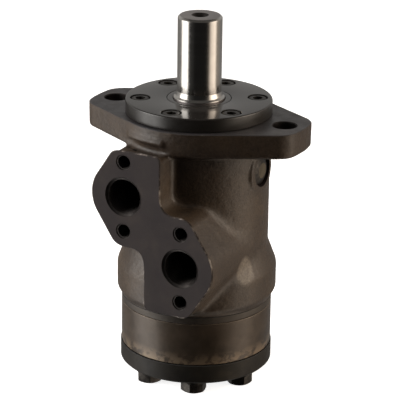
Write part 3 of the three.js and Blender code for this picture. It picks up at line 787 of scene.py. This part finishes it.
def end_cover_finish():
    """Black-oxided end cover, satin, a little brown where the oxide is thin."""
    n = Finish("end_cover_finish")
    colour = n.ramp(
        n.noise(0.014, 5, 0.6),
        [(0.3, (0.014, 0.013, 0.012)), (0.6, (0.020, 0.018, 0.015)), (0.8, (0.036, 0.030, 0.023))],
    )
    roughness = n.mottle(n.noise(0.006, 5), 0.38, 0.55)
    marks = n.turning_marks()
    return n.finish(colour, roughness, n.bump(marks, 0.2, 0.00004), specular=0.2)


def ground_steel():
    """The ground shaft: bright steel with very fine marks round it."""
    n = Finish("ground_steel")
    tone = n.noise(0.010, 4, 0.5)
    colour = n.mottle(tone, (0.60, 0.575, 0.545), (0.70, 0.68, 0.65))
    lay = n.noise(0.0012, 4, 0.6, n.stretched((0.05, 0.05, 1.0)))
    roughness = n.mottle(lay, 0.13, 0.21)
    return n.finish(colour, roughness, n.bump(lay, 0.12, 0.00002), metallic=1.0)


def turned_steel():
    """The shaft's end, keyway and inner length: turned or milled, darker than the ground length."""
    n = Finish("turned_steel")
    colour = n.mottle(n.noise(0.006, 4), (0.30, 0.275, 0.27), (0.40, 0.37, 0.36))
    roughness = n.mottle(n.noise(0.0015, 4), 0.30, 0.42)
    return n.finish(colour, roughness, n.bump(n.noise(0.0008, 3), 0.2, 0.00004), metallic=0.9)


def hardened_steel():
    """The key, the thrust bearing, the star and the drive link."""
    n = Finish("hardened_steel")
    colour = n.mottle(n.noise(0.006, 4), (0.30, 0.295, 0.29), (0.42, 0.41, 0.40))
    roughness = n.mottle(n.noise(0.002, 4), 0.22, 0.34)
    return n.finish(colour, roughness, n.bump(n.noise(0.001, 3), 0.15, 0.00003), metallic=1.0)


def black_oxide():
    """Black bolts and screws: nearly black with a dull sheen and paler worn grains."""
    n = Finish("black_oxide")
    colour = n.ramp(n.noise(0.0022, 5, 0.65), [(0.35, (0.020, 0.018, 0.017)), (0.7, (0.070, 0.063, 0.056))])
    roughness = n.mottle(n.noise(0.003, 4), 0.30, 0.48)
    return n.finish(colour, roughness, n.bump(n.noise(0.0008, 4), 0.3, 0.00006), metallic=0.7)


def plug_steel():
    """The drain plug's face: lighter than the rest of the plug, and a little yellow."""
    n = Finish("plug_steel")
    colour = n.mottle(n.noise(0.004, 4), (0.115, 0.097, 0.070), (0.205, 0.172, 0.120))
    roughness = n.mottle(n.noise(0.002, 4), 0.36, 0.5)
    return n.finish(colour, roughness, n.bump(n.noise(0.001, 4), 0.25, 0.00006), metallic=0.85)


def copper():
    """The drain plug's sealing washer, dull with oil."""
    n = Finish("copper")
    colour = n.mottle(n.noise(0.004, 4), (0.20, 0.09, 0.05), (0.36, 0.18, 0.10))
    roughness = n.mottle(n.noise(0.002, 4), 0.35, 0.5)
    return n.finish(colour, roughness, metallic=1.0)


def rubber():
    """Seals and O-rings, and the black line of oil in the joints round the gear set."""
    n = Finish("rubber")
    colour = n.mottle(n.noise(0.003, 4), (0.012, 0.012, 0.012), (0.024, 0.023, 0.023))
    roughness = n.mottle(n.noise(0.002, 4), 0.55, 0.75)
    return n.finish(colour, roughness, n.bump(n.noise(0.0009, 3), 0.3, 0.00008))


finishes = {
    make.__name__: make()
    for make in (
        cast_skin, machined_iron, worn_edge, flange_top, bore_iron_and_hole_shade, cover_finish, cover_rim, ring_finish,
        painted_ring_edge_highlight, plate_finish, end_cover_finish, ground_steel, turned_steel, hardened_steel, black_oxide,
        plug_steel, copper, rubber,
    )
}


def coated(piece, *names):
    """Gives the piece its finishes. Clearing an empty list would still reset the faces' indices."""
    if piece.data.materials:
        piece.data.materials.clear()
    for name in names:
        piece.data.materials.append(finishes[name])
    return piece


def standing_for(piece, body, slot, *nodes):
    """Lets a finished piece ride on its body and stand for its CAD nodes."""
    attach(piece, body)
    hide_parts(*nodes)
    return piece


# ---------- Housing ----------

HOUSING_FINISHES = ("cast_skin", "machined_iron", "worn_edge", "flange_top", "bore_iron_and_hole_shade")
MACHINED, EDGE, TOP, BORE = range(1, len(HOUSING_FINISHES))


def casting_mesh(step=0.8):
    """The casting's skin as a bmesh in metres, a little wavy as sand castings are."""
    margin = 3.0
    low = np.array(housing_low) - margin
    high = np.array(housing_high) + margin
    x, y, z = (np.arange(low[i], high[i] + step, step) for i in range(3))
    field = casting_distance(x[:, None, None], y[None, :, None], z[None, None, :])
    overrun = margin / 2
    field = np.maximum(field, z[None, None, :] - housing_high.z - overrun)
    field = np.maximum(field, housing_low.z - overrun - z[None, None, :])
    field = np.maximum(field, housing_low.y - overrun - y[None, :, None])
    points, quads = surface_nets(field.astype(np.float32), low, step)
    mesh = mesh_from("housing_casting", points, quads.tolist())
    shape = bmesh.new()
    shape.from_mesh(mesh)
    bpy.data.meshes.remove(mesh)
    shape.normal_update()
    wave_size, wave_height = 7.0 * MM, 0.10 * MM
    grain_size, grain_height = 1.9 * MM, 0.05 * MM
    for vertex in shape.verts:
        wave = noise.noise(vertex.co / wave_size) * wave_height
        wave += noise.noise(vertex.co / grain_size) * grain_height
        vertex.co += vertex.normal * (wave - wave_height / 2)
    return shape


def port_tool(name, x, z, radius, depth, thread):
    """A tapped hole in the port face."""
    tool = turned_to(thread_tool(name, radius, depth, **thread), Matrix.Rotation(math.pi, 4, "X"))
    return moved(along_y(tool), x, PORT_FACE, z)


def housing_tools():
    """Every drilled, tapped and bored hole."""
    bottom, top = housing_low.z - 2 * OVERRUN, 2 * OVERRUN
    tools = [lathe("main_bore", [
        [0, bottom], [MAIN_BORE_RADIUS, bottom], [MAIN_BORE_RADIUS, -RECESS_DEPTH],
        [RECESS_RADIUS, -RECESS_DEPTH], [RECESS_RADIUS, top], [0, top],
    ], 96)]
    hole_chamfer = 0.5
    for side in (1, -1):
        hole = drill("flange_hole", FLANGE_HOLE_RADIUS, -FLANGE_THICKNESS - 4 * OVERRUN, 0, hole_chamfer)
        tools.append(moved(hole, side * FLANGE_HOLE_X))
    for side in (1, -1):
        x, z = -side * PORT_X, PORT_PAIR_Z + side * PORT_Z
        tools.append(port_tool("port", x, z, PORT_RADIUS, PORT_DEPTH, PORT_THREAD))
        passage_end = -PORT_FACE - MAIN_BORE_RADIUS / 2 - OVERRUN
        passage = drill("passage", PORT_PASSAGE_RADIUS, PORT_DEPTH - OVERRUN, passage_end)
        tools.append(moved(along_y(passage), x, PORT_FACE, z))
        for way in (1, -1):
            place = (x, z + way * PORT_SCREW_OFFSET)
            hole = port_tool("screw_hole", *place, PORT_SCREW_RADIUS, PORT_SCREW_DEPTH, PORT_SCREW_THREAD)
            tools.append(hole)
    spot = drill("spot_face", DRAIN_SPOT_RADIUS, DRAIN_SPOT_FACE, NECK_RADIUS + 2 * OVERRUN)
    thread = drill("drain_thread", DRAIN_THREAD_RADIUS, RECESS_RADIUS + OVERRUN, DRAIN_SPOT_FACE)
    tools += [moved(along_x(tool), 0, 0, DRAIN_Z) for tool in (spot, thread)]
    return tools


def housing():
    """The casting with its flat faces milled and its holes cut."""
    top_chamfer, face_chamfer = 0.35, 0.6
    shape = casting_mesh()
    machine_face(shape, 2, 1, housing_high.z, top_chamfer, (TOP, TOP), flange_distance)
    machine_face(shape, 1, -1, PORT_FACE, face_chamfer, (MACHINED, EDGE), block_distance, PORT_PAIR_Z)
    machine_face(shape, 2, -1, housing_low.z, 0.0, (MACHINED, EDGE))
    bmesh.ops.recalc_face_normals(shape, faces=shape.faces[:])
    mesh = bpy.data.meshes.new("housing_body")
    shape.to_mesh(mesh)
    shape.free()
    piece = coated(object_from("housing_body", mesh), *HOUSING_FINISHES)
    tools = housing_tools()
    for tool in tools:
        coated(tool, *HOUSING_FINISHES)
        finish = MACHINED if tool.name.startswith("spot_face") else BORE
        tool.data.polygons.foreach_set("material_index", [finish] * len(tool.data.polygons))
    boolean(piece, tools)
    smooth_shaded(piece, 38)
    return standing_for(piece, "root", "cast_housing", "housing")


# ---------- Front cover, screws and seals ----------


COVER_SCREW_PLACES = places_around(COVER_SCREW_COUNT, COVER_SCREW_CIRCLE, math.pi / COVER_SCREW_COUNT)


def front_cover():
    """The pilot disc: its top is glossy, and its edge and underside are duller."""
    hole = SEAL_SEAT_RADIUS + 2 * GAP
    seat, seat_bottom = dust_high.x + GAP, dust_low.z - GAP
    spigot = RECESS_RADIUS - GAP
    piece = lathe("front_cover_body", [
        [hole, cover_low.z], [spigot, cover_low.z, 0.4], [spigot, GAP], [PILOT_RADIUS, GAP, 0.3],
        [PILOT_RADIUS, PILOT_TOP, 0.9], [seat, PILOT_TOP, 0.25], [seat, seat_bottom], [hole, seat_bottom],
    ], 256)
    tools = []
    for x, y, _ in COVER_SCREW_PLACES:
        tool = drill("counterbore", COUNTERBORE_RADIUS, PILOT_TOP - COUNTERBORE_DEPTH, PILOT_TOP, 0.25)
        tools.append(moved(tool, x, y))
    boolean(coated(piece, "cover_finish", "cover_rim"), tools)
    glossy_depth = 0.5
    for polygon in piece.data.polygons:
        polygon.material_index = int(polygon.center.z / MM < PILOT_TOP - glossy_depth)
    smooth_shaded(piece, 30)
    return standing_for(piece, "root", "front_cover", "front_cover")


def cover_screws():
    """Socket-head screws in the front cover, each turned its own way."""
    low, high = frame_size("cover_screw_1")
    bottom, top = low.z, high.z
    head_height, shank, tip, socket_width, socket_depth = 4.2, 3.0, 2.6, 5.0, 2.6
    head_bottom = top - head_height
    screw = lathe("cover_screw", [
        [0, bottom], [tip, bottom], [shank, bottom + 0.6], [shank, head_bottom],
        [COVER_SCREW_HEAD_RADIUS, head_bottom, 0.2], [COVER_SCREW_HEAD_RADIUS, top, 0.6], [0, top],
    ], 72)
    socket = prism("socket", hexagon(socket_width, 0.1), top - socket_depth, top + OVERRUN)
    mouth = lathe("mouth", [[0, top - 0.3], [2.55, top - 0.3], [3.0, top + 0.15], [0, top + 0.15]], 48)
    boolean(screw, [socket, mouth])
    for k, (x, y, _) in enumerate(COVER_SCREW_PLACES):
        piece = object_from(f"cover_cap_screw_{k + 1}", screw.data.copy())
        turned_to(piece, Matrix.Translation((x * MM, y * MM, 0)) @ Matrix.Rotation(k, 4, "Z"))
        smooth_shaded(coated(piece, "black_oxide"), 30)
        standing_for(piece, "root", "black_fasteners", f"cover_screw_{k + 1}")
    bpy.data.objects.remove(screw)


def dust_wiper():
    """The dust seal's black steel case, flush with the front cover."""
    inner = SEAL_SEAT_RADIUS + 0.32
    outer = dust_high.x
    piece = lathe("dust_wiper", [
        [inner, dust_low.z, 0.3], [outer, dust_low.z, 0.2], [outer, dust_high.z, 0.2],
        [inner, dust_high.z, 0.3],
    ], 160)
    smooth_shaded(coated(piece, "cover_finish"), 30)
    return standing_for(piece, "root", "rubber_seals", "dust_seal")


# ---------- Shaft and key ----------


def shaft():
    """The output shaft in one piece with the spool, whose bore takes the drive link's spline."""
    bottom = shaft_low.z
    spool_top = -RECESS_DEPTH + GAP
    groove = SPOOL_RADIUS - PORT_GROOVE_DEPTH
    bore, spline_bore, spline_top, spline_bottom = 12.4, 9.1, -43, -63
    hole_mouth, hole, hole_depth = CENTRE_HOLE_RADIUS, 3.4, 20
    corners = [[bore, bottom], [SPOOL_RADIUS, bottom, 0.3]]
    for z in (PORT_PAIR_Z - PORT_Z, PORT_PAIR_Z + PORT_Z):
        low, high = z - PORT_GROOVE_HALF_WIDTH, z + PORT_GROOVE_HALF_WIDTH
        corners += [[SPOOL_RADIUS, low], [groove, low, 0.8], [groove, high, 0.8], [SPOOL_RADIUS, high]]
    corners += [
        [SPOOL_RADIUS, spool_top, 0.3], [SEAL_SEAT_RADIUS, spool_top, 0.5],
        [SEAL_SEAT_RADIUS, SEAL_SEAT_HEIGHT - 0.4, 0.4], [SHAFT_RADIUS + 0.75, SEAL_SEAT_HEIGHT + 0.75, 1.2],
        [SHAFT_RADIUS, SHOULDER_CONE_HEIGHT, 2.2],
        [SHAFT_RADIUS, SHAFT_END - 1.2, 0.3], [SHAFT_RADIUS - 1.2, SHAFT_END, 0.3],
        [hole_mouth, SHAFT_END, 0.1], [hole, SHAFT_END - 1.5], [hole, SHAFT_END - hole_depth],
        [0, SHAFT_END - hole_depth - 2], [0, spline_top], [spline_bore, spline_top],
        [spline_bore, spline_bottom], [bore, spline_bottom - 0.5],
    ]
    piece = lathe("shaft_body", corners, 192)
    names = ("ground_steel", "turned_steel", "bore_iron_and_hole_shade")
    coated(piece, *names)
    half_width, half_length = KEY_HALF_WIDTH + GAP, KEY_HALF_LENGTH + GAP
    keyway_floor = SHAFT_RADIUS - 4.0 - GAP
    keyway = key_block("keyway", half_width, half_length, keyway_floor, SHAFT_RADIUS + 2 * OVERRUN)
    boolean(piece, [coated(keyway, *names)])
    hair = 0.05
    for face in piece.data.polygons:
        centre = face.center / MM
        reach = math.hypot(centre.x, centre.y)
        at_end = centre.z > SHAFT_END - hair or reach < SHAFT_RADIUS - 1.5
        in_hole = reach < CENTRE_HOLE_RADIUS - 0.1 and centre.z < SHAFT_END - hair
        # Inside the centre hole the dark bore colour is painted shade.
        face.material_index = 2 if in_hole else 1 if at_end or centre.z < 0 else 0
    smooth_shaded(piece, 28)
    return standing_for(piece, "shaft", "ground_shaft", "output_shaft")


def key_block(name, half_width, half_length, near, far, chamfer=0.0):
    """A key-shaped block with round ends behind the shaft's axis, between two distances from it."""
    straight = half_length - half_width
    middle = (key_low.z + key_high.z) / 2
    arc = [math.pi * (k / 12 - 0.5) for k in range(13)]
    levels = [(near, 0.0), (far, 0.0)]
    if chamfer:
        levels = [(near, chamfer), (near + chamfer, 0.0), (far - chamfer, 0.0), (far, chamfer)]
    points = []
    for y, inset in levels:
        reach = half_width - inset
        for side in (1, -1):
            for a in arc:
                points.append((
                    side * reach * math.sin(a), y, middle + side * (straight + reach * math.cos(a)),
                ))
    count = 2 * len(arc)
    faces = []
    for row in range(len(levels) - 1):
        a, b = row * count, (row + 1) * count
        faces += [[a + k, a + (k + 1) % count, b + (k + 1) % count, b + k] for k in range(count)]
    faces += [list(range(count))[::-1], list(range((len(levels) - 1) * count, len(levels) * count))]
    piece = object_from(name, mesh_from(name, points, faces))
    shape = bmesh.new()
    shape.from_mesh(piece.data)
    bmesh.ops.recalc_face_normals(shape, faces=shape.faces[:])
    shape.to_mesh(piece.data)
    shape.free()
    return piece


def key():
    """The parallel key, on the side away from the ports at rest."""
    chamfer = 0.4
    piece = key_block("parallel_key", KEY_HALF_WIDTH, KEY_HALF_LENGTH, key_low.y, key_high.y, chamfer)
    smooth_shaded(coated(piece, "hardened_steel"), 35)
    return standing_for(piece, "shaft", "hardened_steel", "shaft_key")


# ---------- Gear set and end cover ----------


def cavity_radius(angle):
    """The gear ring's inner outline: a round cavity with seven round teeth standing in it."""
    tooth_circle, tooth_radius, cavity = 32.0, 9.0, 29.45
    pitch = TURN / BOLT_COUNT
    off = (angle - math.pi / 2 + pitch / 2) % pitch - pitch / 2
    across = tooth_circle * math.sin(abs(off))
    if across >= tooth_radius:
        return cavity
    return min(cavity, tooth_circle * math.cos(off) - math.sqrt(tooth_radius ** 2 - across ** 2))


def bolt_hole_tools(bottom, top):
    """The holes of the end bolts."""
    return [
        moved(drill("bolt_hole", BOLT_HOLE_RADIUS, bottom - OVERRUN, top, segments=32), x, y)
        for x, y, _ in places_around(BOLT_COUNT, BOLT_CIRCLE, math.pi / 2)
    ]


def stacked_disc(name, node, finish, edge, slot, corners, inner=None):
    """One disc of the gear set, with a finish of its own on its upper edge."""
    edge_size = 0.35
    piece = lathe(name, corners, 280, inner)
    low, high = frame_size(node)
    boolean(coated(piece, finish, edge), bolt_hole_tools(low.z, high.z))
    for polygon in piece.data.polygons:
        centre = polygon.center / MM
        reach = math.hypot(centre.x, centre.y)
        polygon.material_index = int(centre.z > high.z - edge_size and reach > high.x - edge_size)
    smooth_shaded(piece, 30)
    return standing_for(piece, "root", slot, node)


def gear_stack():
    """Distributor plate, gear ring and end cover."""
    bore = 13.5
    r, e = GEAR_CASE_RADIUS, end_high.x
    stacked_disc("distributor_disc", "distributor_plate", "plate_finish", "rubber", "gear_ring", [
        [bore, plate_low.z], [r, plate_low.z, 0.25], [r, plate_high.z, 0.25], [bore, plate_high.z],
    ])
    # The ring's upper edge takes a painted highlight.
    stacked_disc("gear_ring_body", "gerotor_ring", "ring_finish", "painted_ring_edge_highlight", "gear_ring", [
        [None, ring_low.z], [r, ring_low.z, 0.4], [r, ring_high.z, 0.45], [None, ring_high.z],
    ], cavity_radius)
    stacked_disc("end_cover_disc", "end_cover", "end_cover_finish", "rubber", "end_cover", [
        [0, end_low.z], [e - 1.2, end_low.z, 0.4], [e, end_low.z + 1.2, 0.4], [e, end_high.z, 0.35],
        [0, end_high.z],
    ])


def end_bolts():
    """Hexagon-head bolts with their washers, each turned its own way."""
    low, high = frame_size("end_bolt_1")
    washer_low, washer_high = frame_size("end_washer_1")
    head_top = washer_low.z - GAP
    corner = BOLT_HEAD_ACROSS_FLATS / math.sqrt(3)
    face = BOLT_HEAD_ACROSS_FLATS / 2 - 0.4
    head = prism("head", hexagon(BOLT_HEAD_ACROSS_FLATS), low.z, head_top)
    crown = lathe("crown", [
        [0, low.z], [face, low.z, 0.2], [corner + 0.4, low.z + (corner + 0.4 - face) * 0.55],
        [corner + 0.4, head_top], [0, head_top],
    ], 96)
    boolean(head, [crown], "INTERSECT")
    shank = lathe("shank", [
        [0, head_top - 0.5], [4, head_top - 0.5], [4, high.z - 0.6], [3.4, high.z], [0, high.z],
    ], 40)
    boolean(head, [shank], "UNION")
    washer = lathe("washer", [
        [4.3, washer_low.z, 0.2], [7.6, washer_low.z, 0.35], [7.6, washer_high.z, 0.2], [4.3, washer_high.z],
    ], 96)
    for k, (x, y, _) in enumerate(places_around(BOLT_COUNT, BOLT_CIRCLE, math.pi / 2)):
        place = Matrix.Translation((x * MM, y * MM, 0))
        bolt = object_from(f"end_hex_bolt_{k + 1}", head.data.copy())
        turned_to(bolt, place @ Matrix.Rotation(0.7 * k, 4, "Z"))
        smooth_shaded(coated(bolt, "black_oxide"), 30)
        standing_for(bolt, "root", "black_fasteners", f"end_bolt_{k + 1}")
        plain = object_from(f"end_bolt_washer_{k + 1}", washer.data.copy())
        turned_to(plain, place)
        smooth_shaded(coated(plain, "black_oxide"), 35)
        standing_for(plain, "root", "black_fasteners", f"end_washer_{k + 1}")
    bpy.data.objects.remove(head)
    bpy.data.objects.remove(washer)


def drain():
    """The drain plug and its sealing washer."""
    outer = drain_high.x
    inner = drain_low.x
    radius = (drain_high.y - drain_low.y) / 2
    thread = DRAIN_THREAD_RADIUS - 2 * GAP
    head_bottom = outer - 2.2
    plug = lathe("drain_plug_body", [
        [0, inner], [thread - 0.8, inner], [thread, inner + 0.8], [thread, head_bottom],
        [radius, head_bottom, 0.2], [radius, outer - 1.3, 0.5], [DRAIN_PLUG_FACE_RADIUS, outer, 0.8],
        [0, outer],
    ], 96)
    moved(along_x(plug), 0, 0, DRAIN_Z)
    smooth_shaded(coated(plug, "black_oxide", "plug_steel"), 30)
    for polygon in plug.data.polygons:
        centre = polygon.center / MM
        reach = math.hypot(centre.y, centre.z - DRAIN_Z)
        polygon.material_index = int(centre.x > head_bottom and reach < DRAIN_PLUG_FACE_RADIUS)
    standing_for(plug, "root", "plug_steel", "drain_plug")
    low, high = frame_size("drain_washer")
    r = (high.y - low.y) / 2
    washer = lathe("drain_sealing_washer", [
        [6.6, low.x, 0.15], [r, low.x, 0.3], [r, high.x, 0.3], [6.6, high.x, 0.15],
    ], 96)
    moved(along_x(washer), 0, 0, DRAIN_Z)
    smooth_shaded(coated(washer, "copper"), 35)
    standing_for(washer, "root", "washer_copper", "drain_washer")


# ---------- The CAD nodes that stay ----------


def kept_nodes():
    """Inner pieces keep their CAD shape and get a finish."""
    steel = ["thrust_race_upper", "thrust_race_lower", "thrust_needle_cage"]
    steel += ["gerotor_star", "rotor_spacer", "drive_link"]
    seals = ["shaft_seal", "cover_o_ring", "housing_o_ring", "plate_o_ring", "end_cover_o_ring"]
    for names, finish in ((steel, "hardened_steel"), (seals, "rubber")):
        for name in names:
            coated(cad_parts[name], finish)


# ---------- Camera, light and floor ----------

CAMERA_AZIMUTH = math.radians(27.3)
CAMERA_ELEVATION = math.radians(19.8)
CAMERA_ROLL = math.radians(0.8)
CAMERA_DISTANCE = 1.2
CAMERA_LENS = 192.6
AIM_BELOW = 0.050
AIM_RIGHT = 0.0006
WORLD_STRENGTH = 4.0


def camera():
    """The camera's place and turn, from its direction seen from the motor."""
    a, e, r = CAMERA_AZIMUTH, CAMERA_ELEVATION, CAMERA_ROLL
    back = Vector((math.sin(a) * math.cos(e), -math.cos(a) * math.cos(e), math.sin(e)))
    level = Vector((math.cos(a), math.sin(a), 0))
    upright = back.cross(level)
    right = level * math.cos(r) + upright * math.sin(r)
    up = upright * math.cos(r) - level * math.sin(r)
    data = bpy.data.cameras.new("camera")
    data.lens = CAMERA_LENS
    data.sensor_width = 36
    data.clip_start = 0.05
    view = bpy.data.objects.new("camera", data)
    bpy.context.scene.collection.objects.link(view)
    place = back * CAMERA_DISTANCE + right * AIM_RIGHT - up * AIM_BELOW
    turn = Matrix((right, up, back)).transposed().to_4x4()
    view.matrix_world = Matrix.Translation(place) @ turn
    bpy.context.scene.camera = view


# The studio's soft bands: degrees from the camera's direction, left negative, and the brightness there.
LOW_BANDS = [
    (-180, 0.30), (-140, 0.20), (-108, 0.28), (-98, 2.1), (-66, 2.5), (-57, 0.05), (-24, 0.010),
    (34, 0.010), (46, 0.08), (60, 1.05), (84, 1.55), (98, 0.32), (135, 0.20), (180, 0.30),
]
HIGH_BANDS = [
    (-180, 0.40), (-140, 0.38), (-108, 0.45), (-97, 3.4), (-68, 3.4), (-58, 0.06), (-24, 0.012),
    (34, 0.012), (50, 0.10), (66, 2.30), (90, 3.20), (104, 0.50), (135, 0.34), (180, 0.40),
]
WARM_FROM, WARM_TO = 40, 110
WARM_TINT = (1.0, 0.86, 0.72)
PLAIN_TINT = (1.0, 0.97, 0.93)
OVERHEAD_COLOUR = (0.016, 0.015, 0.014)


def band_stops(bands):
    """The bands as the stops of a ramp that runs once round the motor."""
    stops = []
    for degrees, level in bands:
        tint = WARM_TINT if WARM_FROM < degrees < WARM_TO else PLAIN_TINT
        stops.append(((degrees + 180) / 360, [level * part / WORLD_STRENGTH for part in tint]))
    return stops


def studio_world():
    """What the motor mirrors: bright bands to its left and right, dark in front and nearly black overhead.

    The bands differ above and below the horizon. The camera itself sees white.
    """
    world = bpy.data.worlds.new("studio")
    world.use_nodes = True
    bpy.context.scene.world = world
    n = Nodes(world.node_tree)
    n.tree.nodes.clear()
    turned = n.add("ShaderNodeVectorRotate", rotation_type="Z_AXIS")
    turned.inputs["Angle"].default_value = math.pi / 2 - CAMERA_AZIMUTH
    n.link(n.add("ShaderNodeTexCoord").outputs["Generated"], turned.inputs["Vector"])
    split = n.add("ShaderNodeSeparateXYZ")
    n.link(turned.outputs["Vector"], split.inputs[0])
    azimuth = n.add("ShaderNodeMath", operation="ARCTAN2")
    n.link(split.outputs["Y"], azimuth.inputs[0])
    n.link(split.outputs["X"], azimuth.inputs[1])
    share = n.map_range(azimuth.outputs[0], -math.pi, math.pi)
    low, high = (n.ramp(share, band_stops(bands)) for bands in (LOW_BANDS, HIGH_BANDS))
    height = split.outputs["Z"]
    above_horizon = n.map_range(height, -0.15, 0.10)
    overhead = n.map_range(height, 0.35, 0.85, interpolation_type="SMOOTHSTEP")
    room = n.mix(overhead, n.mix(above_horizon, low, high), OVERHEAD_COLOUR)
    lit = n.add("ShaderNodeBackground")
    lit.inputs["Strength"].default_value = WORLD_STRENGTH
    n.link(room, lit.inputs["Color"])
    seen = n.add("ShaderNodeBackground")
    seen.inputs["Color"].default_value = (1, 1, 1, 1)
    seen.inputs["Strength"].default_value = 1.0
    choice = n.add("ShaderNodeMixShader")
    n.link(n.add("ShaderNodeLightPath").outputs["Is Camera Ray"], choice.inputs["Fac"])
    n.link(lit.outputs[0], choice.inputs[1])
    n.link(seen.outputs[0], choice.inputs[2])
    n.link(choice.outputs[0], n.add("ShaderNodeOutputWorld").inputs["Surface"])


def area_light(name, degrees, elevation, distance, size, power, colour=(1, 1, 1)):
    """A soft box at an angle from the camera's direction, aimed at the motor's middle."""
    data = bpy.data.lights.new(name, "AREA")
    data.shape = "RECTANGLE"
    data.size, data.size_y = size
    data.energy = power
    data.color = colour
    light = bpy.data.objects.new(name, data)
    bpy.context.scene.collection.objects.link(light)
    turn = CAMERA_AZIMUTH + math.radians(degrees)
    lift = math.radians(elevation)
    direction = Vector((math.sin(turn) * math.cos(lift), -math.cos(turn) * math.cos(lift), math.sin(lift)))
    middle = Vector((0, 0, (housing_low.z + housing_high.z) / 2 * MM))
    light.location = middle + direction * distance
    light.rotation_euler = direction.to_track_quat("Z", "Y").to_euler()
    return light


def lights():
    """The boxes light the motor; what it mirrors is the studio's own bands."""
    boxes = (
        area_light("left_box", -86, 14, 1.1, (0.5, 0.9), 12, (1.0, 0.94, 0.91)),
        area_light("right_box", 86, 14, 1.1, (0.5, 0.9), 6.5, (1.0, 0.84, 0.66)),
        area_light("top_box", 0, 86, 1.2, (0.9, 0.9), 1.5),
    )
    for box in boxes:
        box.visible_glossy = False


def floor():
    """A wide pale table top under the bolt heads."""
    reach, thickness, sides = 3000, 20, 64
    top = cad_box[0].z / MM
    angles = [TURN * k / sides for k in range(sides)]
    outline = [(reach * math.cos(a), reach * math.sin(a)) for a in angles]
    table = prism("table_top", outline, top - thickness, top)
    material = bpy.data.materials.new("table_white")
    material.use_nodes = True
    shader = material.node_tree.nodes["Principled BSDF"]
    shader.inputs["Base Color"].default_value = (0.92, 0.92, 0.92, 1)
    shader.inputs["Roughness"].default_value = 0.9
    shader.inputs["Emission Color"].default_value = (1, 1, 1, 1)
    shader.inputs["Emission Strength"].default_value = 0.85
    table.data.materials.append(material)
    table.visible_glossy = False
    table.visible_diffuse = False


# ---------- The motor ----------

housing()
front_cover()
cover_screws()
dust_wiper()
shaft()
key()
gear_stack()
end_bolts()
drain()
kept_nodes()
camera()
studio_world()
lights()
floor()
bpy.context.scene.view_settings.view_transform = "Standard"
